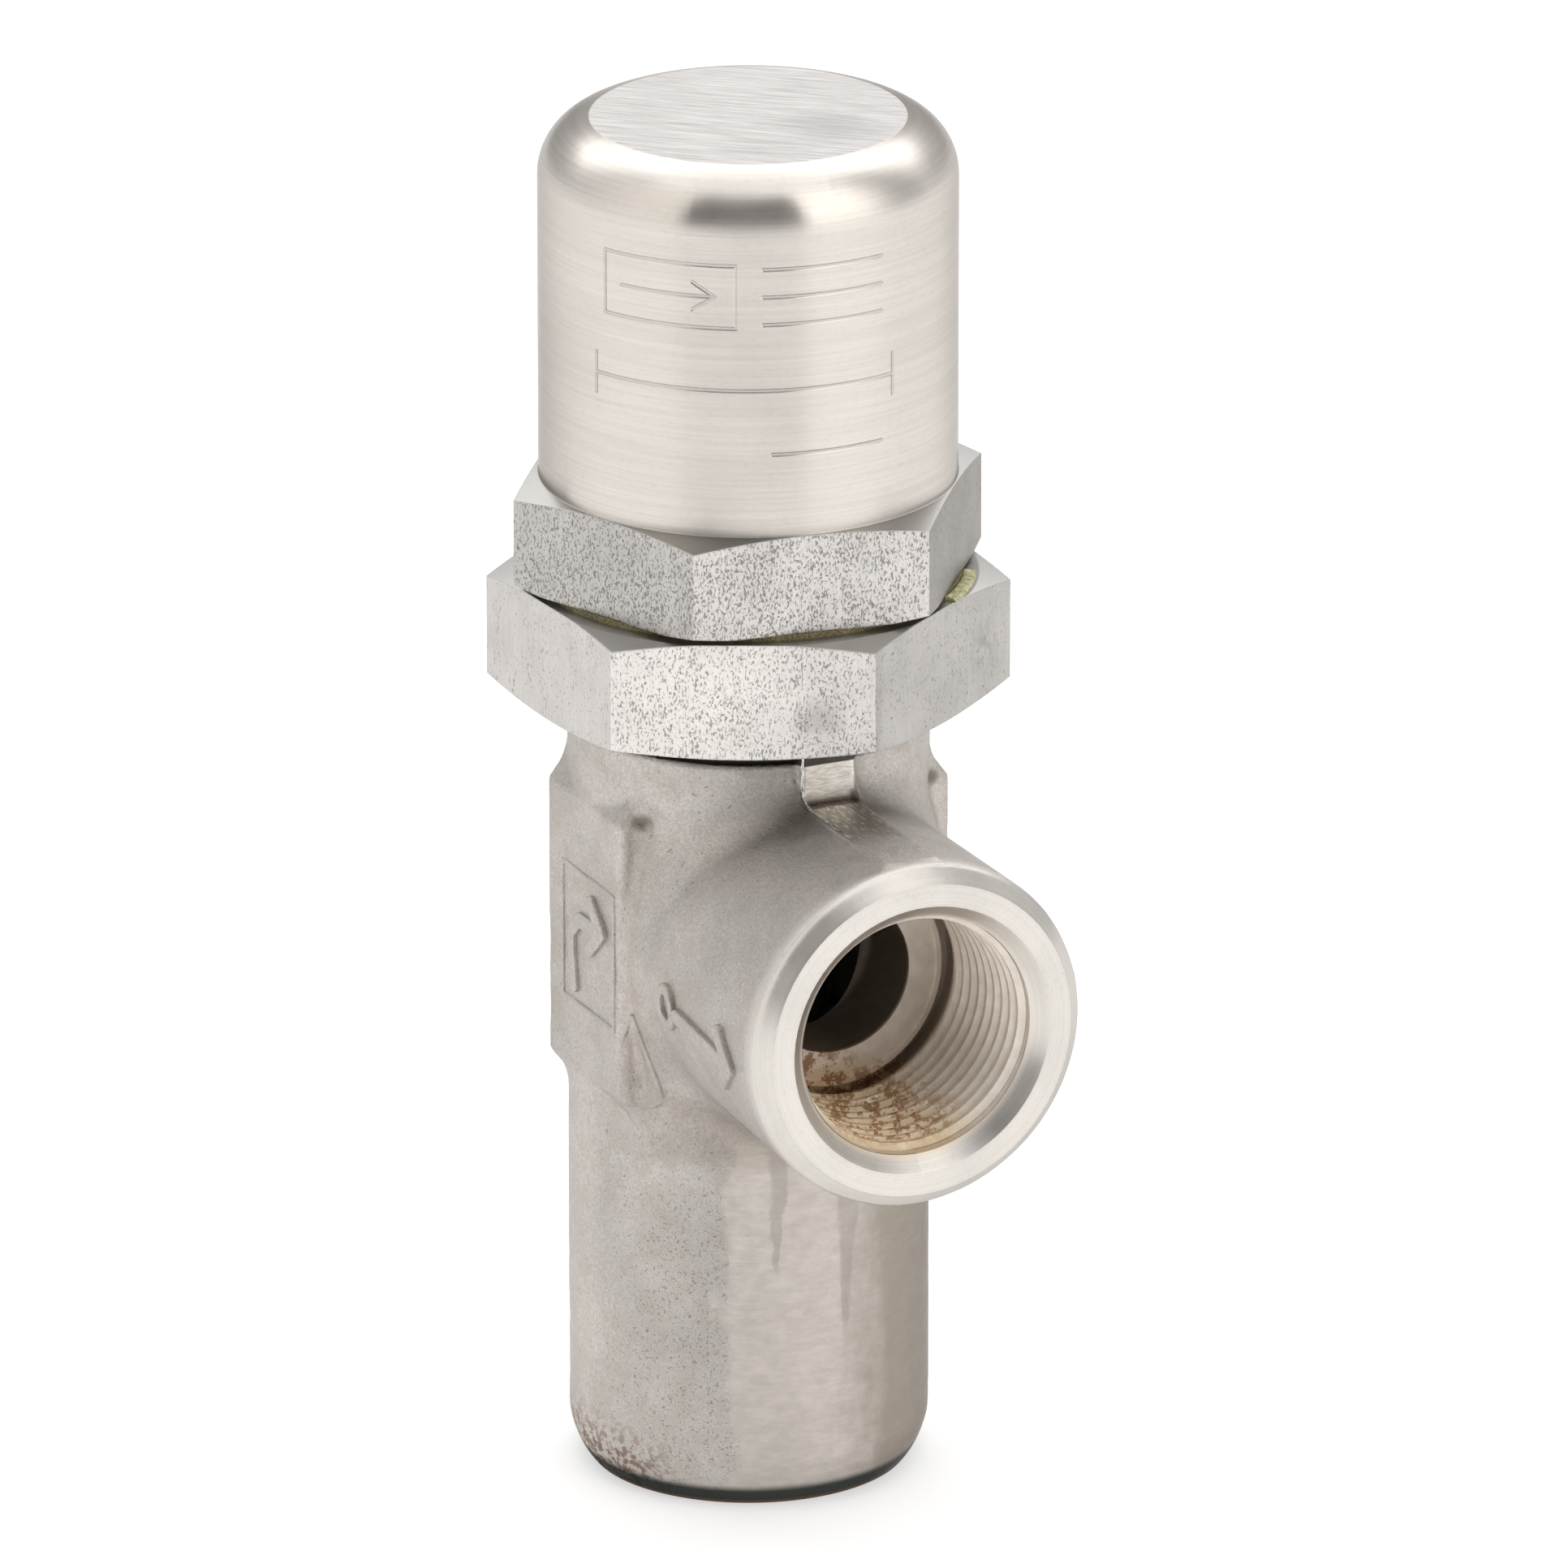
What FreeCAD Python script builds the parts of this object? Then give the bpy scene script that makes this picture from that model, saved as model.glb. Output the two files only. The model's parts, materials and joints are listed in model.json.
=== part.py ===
"""Spring-loaded angle pressure relief valve, millimetres.

The valve stands on its inlet face: Z is the valve's axis, Z = 0 is the bottom face, and the outlet port
points along +X. Every sub-part is turned about the valve's axis unless it says otherwise.
"""
import FreeCAD, Part
import math
import os
from types import SimpleNamespace

import Sketcher

Vector = FreeCAD.Vector

# ---------------------------------------------------------------------------------------------------------
# Driving dimensions
# ---------------------------------------------------------------------------------------------------------
DRIVING = {
    # body, outside
    "barrel_radius": 19.1,
    "foot_radius": 16.9,         # bottom face, inside its chamfer
    "foot_height": 3.2,          # top of the rounded chamfer
    "foot_rounding": 2.4,
    "neck_top": 85.0,
    "pad_face": 19.2,            # flats on both sides, distance from the axis
    "pad_half_width": 9.3,
    "pad_low": 45.3,
    "pad_high": 75.8,
    "pad_taper": 3.8,
    "pad_root": 16.35,           # where the taper of the pads meets the barrel
    "pad_rounding": 1.2,
    "port_axis_height": 60.6,
    "port_face": 42.9,
    "boss_radius": 18.9,
    "boss_root_radius": 17.7,
    "boss_root_rise": 0.7,       # the forged boss leans up a little towards the body
    "boss_chamfer": 1.8,
    "boss_rounding": 4.0,
    "land_half_width": 3.0,      # ground-off parting flash, seen as a flat land on neck and boss
    "land_reach": 19.75,
    "land_low": 76.0,
    # ports, three-quarter-inch taper pipe thread drawn at its root
    "thread_root": 13.1,
    "thread_length": 18.6,
    "thread_runout": 0.4,
    "mouth_radius": 14.7,
    "inlet_mouth_chamfer": 0.45,
    "relief_radius": 13.5,
    "relief_depth": 22.6,
    "inlet_relief_width": 2.0,
    "island_radius": 12.1,
    "island_depth": 21.2,
    "island_rim": 0.5,
    "island_rim_height": 0.35,
    "outlet_passage": 8.5,
    "inlet_passage": 8.0,
    # body, inside
    "nozzle_bore": 10.0,
    "nozzle_bore_low": 36.0,
    "chamber_floor": 44.0,
    "chamber_radius": 13.0,
    "guide_seat": 70.5,
    "guide_radius": 14.6,
    "guide_top": 76.0,
    "body_thread": 16.2,
    # seat
    "seat_height": 50.0,
    "seat_bore": 5.0,
    "seat_lip": 6.4,
    "seat_lip_height": 0.8,
    "seat_lip_foot": 8.2,
    "seat_bore_chamfer": 0.6,
    "nozzle_flange": 11.8,
    "nozzle_flange_height": 3.0,
    "ring_section": 0.9,
    "ring_groove_low": 38.0,
    "ring_groove_width": 1.98,
    "lip_gap": 0.05,
    # poppet and stem
    "poppet_radius": 8.6,
    "poppet_skirt": 6.3,         # height of the full-radius part
    "poppet_hub": 6.2,
    "poppet_top": 62.0,
    "disc_radius": 7.5,
    "disc_height": 2.3,
    "seat_screw_radius": 1.5,
    "seat_screw_head": 3.4,
    "seat_screw_head_height": 1.3,
    "seat_screw_top": 56.0,
    "stem_radius": 4.0,
    "stem_low": 57.0,
    "stem_shoulder": 83.0,
    "stem_neck": 3.0,
    "stem_top": 90.0,
    "circlip_groove_width": 0.9,
    "circlip_height": 0.8,
    "pin_radius": 1.0,
    "pin_height": 60.0,
    "running": 0.05,             # radial clearance of a running fit
    "snug": 0.02,                # clearance of a pin or ball in its hole
    "small_chamfer": 0.3,
    "edge_chamfer": 0.8,
    "air": 1.0,                  # how far a cutter overshoots an open face
    "bush_radius": 5.95,
    "bush_flange": 8.0,
    "bush_flange_height": 1.2,
    "bush_top": 78.2,
    "snap_groove": 5.3,
    "snap_outside": 7.3,
    "snap_height": 0.8,
    # spring train
    "button_radius": 11.4,
    "button_height": 3.0,
    "button_hub": 6.4,
    "button_hub_height": 1.4,
    "circlip_groove": 2.4,
    "circlip_radius": 4.6,
    "spring_low": 86.0,
    "spring_high": 109.5,
    "spring_mean": 9.2,
    "spring_wire": 1.6,
    "spring_turns": 5.5,
    "upper_button_top": 115.0,
    "ball_radius": 2.5,
    "ball_height": 115.8,
    "screw_low": 116.5,
    "collar_radius": 9.5,        # thrust collar, which keeps the screw from being turned out of the bonnet
    "collar_height": 1.4,
    "screw_top": 141.0,
    "screw_radius": 4.93,
    "screw_hole": 5.0,
    "screw_pitch": 1.5,
    "screw_thread_depth": 0.68,
    "slot_width": 1.6,
    "slot_depth": 2.6,
    "washer_radius": 8.9,
    "washer_height": 1.3,
    "nut_flats": 16.0,
    "nut_height": 7.2,
    "nut_circle": 7.76,
    # bonnet, with the lower hexagon
    "bonnet_flats": 47.63,
    "bonnet_hex_turn": 3.8,
    "bonnet_hex_low": 86.0,
    "bonnet_hex_high": 98.71,
    "bonnet_low_circle": 23.6,
    "bonnet_high_circle": 24.3,
    "spigot_radius": 16.1,
    "spring_cavity": 12.2,
    "cavity_top": 121.0,
    "cavity_corner": 1.5,
    "bonnet_top": 126.0,
    "bonnet_tube": 16.6,
    "cap_thread_radius": 17.5,
    "cap_thread_top": 108.6,
    "cap_thread_pitch": 1.5,
    "cap_thread_depth": 0.75,
    "bonnet_gasket_inside": 16.3,
    "bonnet_gasket_outside": 17.7,
    # cap, with the upper hexagon
    "hex_chamfer_angle": 15.0,
    "cap_flats": 44.45,
    "cap_hex_turn": 22.3,
    "cap_hex_low": 99.25,
    "cap_low_circle": 23.9,
    "cap_radius": 22.0,
    "cap_shoulder": 110.0,
    "crown_low": 142.6,
    "crown_rounding": 6.35,
    "cap_top": 148.9,
    "cap_top_radius": 16.45,
    "cap_bore": 18.0,
    "cap_bore_low": 110.5,       # end of the cap's own thread
    "cap_bore_top": 140.5,
    "cap_roof": 144.9,
    "cap_roof_radius": 14.0,
    "cap_gasket_inside": 17.7,
    "cap_gasket_outside": 22.55,
    # dab of sealing compound across the joint
    "compound_inside": 22.65,
    "compound_outside": 24.0,
    "compound_height": 0.42,
    "compound_start": 40.0,
    "compound_sweep": 23.0,
}

doc = FreeCAD.newDocument("pressure_relief_valve")
sheet = doc.addObject("Spreadsheet::Sheet", "sizes")
for row, (word, number) in enumerate(DRIVING.items(), start=1):
    sheet.set(f"A{row}", word)
    sheet.set(f"B{row}", str(number))
    sheet.setAlias(f"B{row}", word)
doc.recompute()


class Size:
    """A dimension that keeps its number together with the spreadsheet expression that gives it."""

    def __init__(self, number, text):
        self.number = number
        self.text = text

    @staticmethod
    def of(value):
        return value if isinstance(value, Size) else Size(float(value), str(value))

    def join(self, sign, other, number):
        return Size(number, f"({self.text} {sign} {other.text})")

    def __add__(self, other):
        other = Size.of(other)
        return self.join("+", other, self.number + other.number)

    def __sub__(self, other):
        other = Size.of(other)
        return self.join("-", other, self.number - other.number)

    def __mul__(self, other):
        other = Size.of(other)
        return self.join("*", other, self.number * other.number)

    def __truediv__(self, other):
        other = Size.of(other)
        return self.join("/", other, self.number / other.number)

    def __neg__(self):
        return Size(-self.number, f"(0 - {self.text})")


s = SimpleNamespace(**{word: Size(number, f"sizes.{word}") for word, number in DRIVING.items()})
ZERO = Size(0.0, "0")
HEX_CORNER = 1 / math.cos(math.radians(30))     # corner radius of a hexagon over its half width
CHAMFER_SLOPE = math.tan(math.radians(DRIVING["hex_chamfer_angle"]))


# ---------------------------------------------------------------------------------------------------------
# Building blocks
# ---------------------------------------------------------------------------------------------------------
def bind(item, prop, size):
    """Set one property to a size and tie it to the spreadsheet."""
    item.setExpression(prop, Size.of(size).text)


def place(item, x=ZERO, y=ZERO, z=ZERO, turn=None, axis=Vector(0, 0, 1)):
    """Give an object a Placement whose numbers follow the spreadsheet."""
    angle = Size.of(turn or 0)
    base = Vector(Size.of(x).number, Size.of(y).number, Size.of(z).number)
    item.Placement = FreeCAD.Placement(base, FreeCAD.Rotation(axis, angle.number))
    for letter, size in zip("xyz", (x, y, z)):
        if isinstance(size, Size) and size is not ZERO:
            item.setExpression(f"Placement.Base.{letter}", size.text)
    if isinstance(turn, Size):
        item.setExpression("Placement.Rotation.Angle", turn.text)
    return item


def origin_feature(body, role):
    return next(item for item in body.Origin.OriginFeatures if item.Role == role)


def arc_between(start, end, radius):
    """Arc of less than half a turn; a positive radius bulges to the right of the way from start to end."""
    chord = end - start
    half = chord.Length / 2
    side = Vector(-chord.y, chord.x, 0).normalize()
    reach = math.sqrt(max(radius * radius - half * half, 0.0))
    centre = (start + end) * 0.5 + side * math.copysign(reach, radius)
    middle = centre - side * math.copysign(abs(radius), radius)
    return Part.Arc(start, middle, end)


def outline(body, role, points):
    """Closed, fully dimensioned sketch on an origin plane.

    Each point is (across, up) or (across, up, radius); the radius rounds the side that arrives there.
    """
    sketch = body.newObject("Sketcher::SketchObject", f"{body.Name}_outline")
    sketch.AttachmentSupport = [(origin_feature(body, role), "")]
    sketch.MapMode = "FlatFace"
    corners = [Vector(Size.of(p[0]).number, Size.of(p[1]).number, 0) for p in points]
    count = len(points)
    for index in range(count):
        start, end = corners[index], corners[(index + 1) % count]
        target = points[(index + 1) % count]
        if len(target) == 3:
            sketch.addGeometry(arc_between(start, end, Size.of(target[2]).number))
        else:
            sketch.addGeometry(Part.LineSegment(start, end))

    def ends(index):
        """Sketch point numbers of a side's start and end; an arc keeps its own counter-clockwise order."""
        side = sketch.Geometry[index]
        forward = side.StartPoint.distanceToPoint(corners[index]) < 1e-6
        return (1, 2) if forward else (2, 1)

    for index in range(count):
        after = (index + 1) % count
        meeting = (index, ends(index)[1], after, ends(after)[0])
        sketch.addConstraint(Sketcher.Constraint("Coincident", *meeting))
        if len(points[after]) == 3:
            radius = Size.of(points[after][2])
            number = sketch.addConstraint(Sketcher.Constraint("Radius", index, abs(radius.number)))
            sketch.setExpression(f"Constraints[{number}]", f"abs({radius.text})")
    for index, point in enumerate(points):
        for kind, axis, size in (("DistanceX", -2, point[0]), ("DistanceY", -1, point[1])):
            size = Size.of(size)
            if abs(size.number) < 1e-9:
                sketch.addConstraint(Sketcher.Constraint("PointOnObject", index, ends(index)[0], axis))
                continue
            corner = (index, ends(index)[0])
            reach = size if size.number > 0 else -size
            way = (-1, 1, *corner) if size.number > 0 else (*corner, -1, 1)
            number = sketch.addConstraint(Sketcher.Constraint(kind, *way, reach.number))
            sketch.setExpression(f"Constraints[{number}]", reach.text)
    return sketch


def turned(name, points, sweep=360):
    """Body turned about Z from its half outline in the XZ plane."""
    body = doc.addObject("PartDesign::Body", name)
    sketch = outline(body, "XZ_Plane", points)
    spin = body.newObject("PartDesign::Revolution", f"{name}_turned")
    spin.Profile = sketch
    spin.ReferenceAxis = (sketch, ["V_Axis"])
    bind(spin, "Angle", sweep)
    doc.recompute()
    return body


def cut_rings(body, radius, depth, pitch, low, count):
    """Row of V-shaped grooves round a turned body, standing for its thread."""
    before = body.Shape.Volume
    sketch = outline(body, "XZ_Plane", [
        (radius - depth, low + pitch / 2),
        (radius + depth * 0.5, low - pitch * 0.2),
        (radius + depth * 0.5, low + pitch * 1.2),
    ])
    groove = body.newObject("PartDesign::Groove", f"{body.Name}_ring")
    groove.Profile = sketch
    groove.ReferenceAxis = (sketch, ["V_Axis"])
    groove.Angle = 360
    doc.recompute()
    row_of_rings = body.newObject("PartDesign::LinearPattern", f"{body.Name}_rings")
    row_of_rings.Originals = [groove]
    row_of_rings.Direction = (origin_feature(body, "Z_Axis"), [""])
    row_of_rings.Occurrences = count
    bind(row_of_rings, "Length", pitch * (count - 1))
    body.Tip = row_of_rings
    doc.recompute()
    if body.Shape.Volume >= before:
        raise RuntimeError(f"{body.Name}: the thread grooves cut nothing")
    return body


def cylinder(name, radius, height, **where):
    item = doc.addObject("Part::Cylinder", name)
    bind(item, "Radius", radius)
    bind(item, "Height", height)
    return place(item, **where)


def box(name, length, width, height, **where):
    item = doc.addObject("Part::Box", name)
    bind(item, "Length", length)
    bind(item, "Width", width)
    bind(item, "Height", height)
    return place(item, **where)


def sphere(name, radius, **where):
    item = doc.addObject("Part::Sphere", name)
    bind(item, "Radius", radius)
    return place(item, **where)


def cut(name, base, tool):
    item = doc.addObject("Part::Cut", name)
    item.Base = base
    item.Tool = tool
    return item


def fuse(name, pieces):
    item = doc.addObject("Part::MultiFuse", name)
    item.Shapes = pieces
    item.Refine = True
    return item


def common(name, pieces):
    item = doc.addObject("Part::MultiCommon", name)
    item.Shapes = pieces
    return item


def ring(name, inside, outside, low, high):
    """Flat ring between two radii and two heights."""
    return turned(name, [(inside, low), (outside, low), (outside, high), (inside, high)])


def hexagon(name, flats, turn, low, high, low_circle, high_circle):
    """Hexagonal bar end with its corners turned off at the chamfer angle, above and below."""
    corner = flats / 2 * HEX_CORNER
    bar = doc.addObject("Part::Prism", f"{name}_bar")
    bar.Polygon = 6
    bind(bar, "Circumradius", corner)
    bind(bar, "Height", high - low)
    place(bar, z=low, turn=turn)
    reach = corner + 1
    envelope = turned(f"{name}_envelope", [
        (ZERO, low),
        (low_circle, low),
        (reach, low + (reach - low_circle) * CHAMFER_SLOPE),
        (reach, high - (reach - high_circle) * CHAMFER_SLOPE),
        (high_circle, high),
        (ZERO, high),
    ])
    return common(f"{name}_hexagon", [bar, envelope])


def edges_where(item, test):
    """Numbers of the edges whose middle point passes a test, as Part::Fillet wants them."""
    found = []
    for number, edge in enumerate(item.Shape.Edges, start=1):
        if edge.Degenerated:
            continue
        middle = edge.valueAt((edge.FirstParameter + edge.LastParameter) / 2)
        if test(edge, middle):
            found.append(number)
    return found


def rounded(name, base, radius, test):
    """Fillet of one radius on the edges that pass the test."""
    item = doc.addObject("Part::Fillet", name)
    item.Base = base
    item.Edges = [(number, radius.number, radius.number) for number in edges_where(base, test)]
    doc.recompute()
    return item


parts = {}


def sub_part(node, item):
    """Name an object as a finished sub-part."""
    item.Label = node
    parts[node] = item


# ---------------------------------------------------------------------------------------------------------
# Body: forged outside, machined ports and chamber
# ---------------------------------------------------------------------------------------------------------
LEAN = s.boss_root_rise / s.port_face * math.degrees(1)


def forged_outside():
    """Barrel, side pads, outlet boss and the ground-off flash land, before any machining."""
    slant = math.cos(math.radians(45))
    barrel = turned("barrel", [
        (ZERO, ZERO),
        (s.foot_radius, ZERO),
        (s.barrel_radius - s.foot_rounding * (1 - slant), s.foot_height - s.foot_rounding * slant),
        (s.barrel_radius, s.foot_height, s.foot_rounding),
        (s.barrel_radius, s.neck_top),
        (ZERO, s.neck_top),
    ])
    pads = doc.addObject("PartDesign::Body", "side_pads")
    pad_sketch = outline(pads, "YZ_Plane", [
        (-s.pad_face, s.pad_low),
        (-s.pad_root, s.pad_low - s.pad_taper),
        (s.pad_root, s.pad_low - s.pad_taper),
        (s.pad_face, s.pad_low),
        (s.pad_face, s.pad_high),
        (s.pad_root, s.pad_high + s.pad_taper),
        (-s.pad_root, s.pad_high + s.pad_taper),
        (-s.pad_face, s.pad_high),
    ])
    pad = pads.newObject("PartDesign::Pad", "side_pads_pad")
    pad.Profile = pad_sketch
    pad.Midplane = True
    bind(pad, "Length", s.pad_half_width * 2)
    doc.recompute()

    def stands_out(_edge, middle):
        return abs(middle.y) > s.pad_root.number

    soft_pads = rounded("rounded_pads", pads, s.pad_rounding, stands_out)

    boss = doc.addObject("Part::Cone", "boss_cone")
    overrun = 1.1       # the cone runs past the port face, so that the chamfer cone trims it flush
    bind(boss, "Radius1", s.boss_root_radius)
    bind(boss, "Radius2", s.boss_root_radius + (s.boss_radius - s.boss_root_radius) * overrun)
    bind(boss, "Height", s.port_face * overrun)
    place(boss, z=s.port_axis_height + s.boss_root_rise, turn=LEAN + 90, axis=Vector(0, 1, 0))
    chamfer = doc.addObject("Part::Cone", "boss_chamfer_cone")
    bind(chamfer, "Radius1", s.boss_radius - s.boss_chamfer + s.port_face)
    bind(chamfer, "Radius2", s.boss_radius - s.boss_chamfer)
    bind(chamfer, "Height", s.port_face)
    place(chamfer, z=s.port_axis_height, turn=90, axis=Vector(0, 1, 0))
    boss_end = common("boss", [boss, chamfer])

    width = s.land_half_width * 2
    neck_land = box("neck_land", s.land_reach, width, s.neck_top - s.land_low,
                    y=-s.land_half_width, z=s.land_low)
    boss_top = s.port_axis_height + s.boss_radius
    boss_land = box("boss_land", s.port_face - s.boss_chamfer - s.air, width, s.boss_radius,
                    y=-s.land_half_width, z=boss_top - s.boss_radius)
    tee = fuse("tee", [barrel, boss_end])
    doc.recompute()

    def joins_boss(edge, middle):
        return edge.Curve.TypeId == "Part::GeomBSplineCurve" and middle.x < s.barrel_radius.number + 1

    blended = rounded("blended_tee", tee, s.boss_rounding, joins_boss)
    forging = fuse("forging", [blended, soft_pads, neck_land, boss_land])
    doc.recompute()
    return forging


def outlet_hollow():
    """Outlet port and passage, turned about Z and then laid along +X."""
    mouth = s.mouth_radius - s.thread_root
    island = s.port_face - s.island_depth
    thread_end = s.port_face - mouth - s.thread_length
    hollow = turned("outlet_hollow", [
        (ZERO, ZERO),
        (s.outlet_passage, ZERO),
        (s.outlet_passage, island),
        (s.island_radius - s.island_rim, island),
        (s.island_radius - s.island_rim, island + s.island_rim_height),
        (s.island_radius, island + s.island_rim_height),
        (s.island_radius, s.port_face - s.relief_depth),
        (s.relief_radius, s.port_face - s.relief_depth),
        (s.relief_radius, thread_end - s.thread_runout),
        (s.thread_root, thread_end),
        (s.thread_root, s.port_face - mouth),
        (s.mouth_radius, s.port_face),
        (s.mouth_radius, s.port_face + s.air),
        (ZERO, s.port_face + s.air),
    ])
    return place(hollow, z=s.port_axis_height, turn=90, axis=Vector(0, 1, 0))


def main_hollow():
    """Inlet port, nozzle bore, chamber, guide seat and bonnet thread on the valve's axis."""
    mouth = s.inlet_mouth_chamfer
    thread_end = s.thread_length + mouth
    return turned("main_hollow", [
        (ZERO, -s.air),
        (s.thread_root + mouth + s.air, -s.air),
        (s.thread_root, mouth),
        (s.thread_root, thread_end),
        (s.relief_radius, thread_end + s.thread_runout),
        (s.relief_radius, thread_end + s.inlet_relief_width),
        (s.inlet_passage, thread_end + s.inlet_relief_width),
        (s.inlet_passage, s.nozzle_bore_low),
        (s.nozzle_bore, s.nozzle_bore_low),
        (s.nozzle_bore, s.chamber_floor),
        (s.chamber_radius, s.chamber_floor),
        (s.chamber_radius, s.guide_seat),
        (s.guide_radius, s.guide_seat),
        (s.guide_radius, s.guide_top),
        (s.body_thread, s.guide_top),
        (s.body_thread, s.neck_top + s.air),
        (ZERO, s.neck_top + s.air),
    ])


hollows = fuse("hollows", [outlet_hollow(), main_hollow()])
sub_part("body", cut("machined_body", forged_outside(), hollows))


# ---------------------------------------------------------------------------------------------------------
# Seat: screwed-in nozzle and its ring
# ---------------------------------------------------------------------------------------------------------
def seat_nozzle():
    outside = s.nozzle_bore - s.running
    groove_floor = s.nozzle_bore - s.ring_section * 2
    groove_high = s.ring_groove_low + s.ring_groove_width
    flange_top = s.chamber_floor + s.nozzle_flange_height
    return turned("nozzle", [
        (s.seat_bore, s.nozzle_bore_low + s.air),
        (outside, s.nozzle_bore_low + s.air),
        (outside, s.ring_groove_low),
        (groove_floor, s.ring_groove_low),
        (groove_floor, groove_high),
        (outside, groove_high),
        (outside, s.chamber_floor),
        (s.nozzle_flange, s.chamber_floor),
        (s.nozzle_flange, flange_top),
        (s.seat_lip_foot, flange_top),
        (s.seat_lip_foot, s.seat_height - s.seat_lip_height),
        (s.seat_lip, s.seat_height),
        (s.seat_bore + s.seat_bore_chamfer, s.seat_height),
        (s.seat_bore, s.seat_height - s.seat_bore_chamfer),
    ])


def nozzle_ring():
    """Round-section ring, a hair thinner than its groove."""
    item = doc.addObject("Part::Torus", "nozzle_ring")
    bind(item, "Radius1", s.nozzle_bore - s.ring_section)
    bind(item, "Radius2", s.ring_section - s.snug)
    return place(item, z=s.ring_groove_low + s.ring_groove_width / 2)


sub_part("seat_nozzle", seat_nozzle())
sub_part("nozzle_o_ring", nozzle_ring())


# ---------------------------------------------------------------------------------------------------------
# Poppet, soft disc, its screw, and the stem
# ---------------------------------------------------------------------------------------------------------
disc_low = s.seat_height + s.lip_gap
disc_top = disc_low + s.disc_height
screw_hole = s.seat_screw_radius + s.running


def cross_hole(name, base, radius):
    """Drill a piece across the valve's axis, along Y, at the pin's height."""
    drill = cylinder(f"{name}_drill", radius, s.poppet_hub * 4, y=-(s.poppet_hub * 2), z=s.pin_height,
                     turn=-90, axis=Vector(1, 0, 0))
    return cut(f"{name}_drilled", base, drill)


def poppet():
    screw_room = s.seat_screw_top + s.small_chamfer
    skirt_top = disc_low + s.poppet_skirt
    blank = turned("poppet_blank", [
        (screw_hole, disc_top),
        (s.disc_radius + s.running, disc_top),
        (s.disc_radius + s.running, disc_low),
        (s.poppet_radius, disc_low),
        (s.poppet_radius, skirt_top),
        (s.poppet_hub, skirt_top + s.poppet_radius - s.poppet_hub),
        (s.poppet_hub, s.poppet_top),
        (s.stem_radius + s.running, s.poppet_top),
        (s.stem_radius + s.running, s.stem_low),
        (ZERO, s.stem_low),
        (ZERO, screw_room),
        (screw_hole, screw_room),
    ])
    return cross_hole("poppet", blank, s.pin_radius + s.snug)


def seat_screw():
    head_low = disc_low - s.seat_screw_head_height
    return turned("seat_screw", [
        (ZERO, head_low),
        (s.seat_screw_head - s.small_chamfer, head_low),
        (s.seat_screw_head, head_low + s.small_chamfer),
        (s.seat_screw_head, disc_low),
        (s.seat_screw_radius, disc_low),
        (s.seat_screw_radius, s.seat_screw_top),
        (ZERO, s.seat_screw_top),
    ])


def stem():
    groove_low = s.spring_low + s.button_hub_height + s.running
    groove_high = groove_low + s.circlip_groove_width
    blank = turned("stem_blank", [
        (ZERO, s.stem_low),
        (s.stem_radius, s.stem_low),
        (s.stem_radius, s.stem_shoulder),
        (s.stem_neck, s.stem_shoulder),
        (s.stem_neck, groove_low),
        (s.circlip_groove, groove_low),
        (s.circlip_groove, groove_high),
        (s.stem_neck, groove_high),
        (s.stem_neck, s.stem_top - s.small_chamfer),
        (s.stem_neck - s.small_chamfer, s.stem_top),
        (ZERO, s.stem_top),
    ])
    return cross_hole("stem", blank, s.pin_radius + s.snug)


def split_ring(name, inside, outside, low, high):
    """Retaining ring with an open gap towards -X."""
    whole = ring(f"{name}_whole", inside, outside, low, high)
    gap_width = inside * 0.6
    gap = box(f"{name}_gap", outside + s.air, gap_width, high - low + s.air * 2,
              x=-(outside + s.air), y=-(gap_width / 2), z=low - s.air)
    return cut(name, whole, gap)


sub_part("poppet", poppet())
sub_part("soft_seat_disc", ring("soft_disc", screw_hole, s.disc_radius, disc_low, disc_top))
sub_part("seat_retaining_screw", seat_screw())
sub_part("poppet_stem", stem())
sub_part("poppet_pin", cylinder("pin", s.pin_radius, s.poppet_hub * 2, y=-s.poppet_hub, z=s.pin_height,
                                turn=-90, axis=Vector(1, 0, 0)))
clip_low = s.spring_low + s.button_hub_height + s.running * 2
sub_part("stem_circlip", split_ring("circlip", s.circlip_groove + s.running, s.circlip_radius,
                                    clip_low, clip_low + s.circlip_height))


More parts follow.
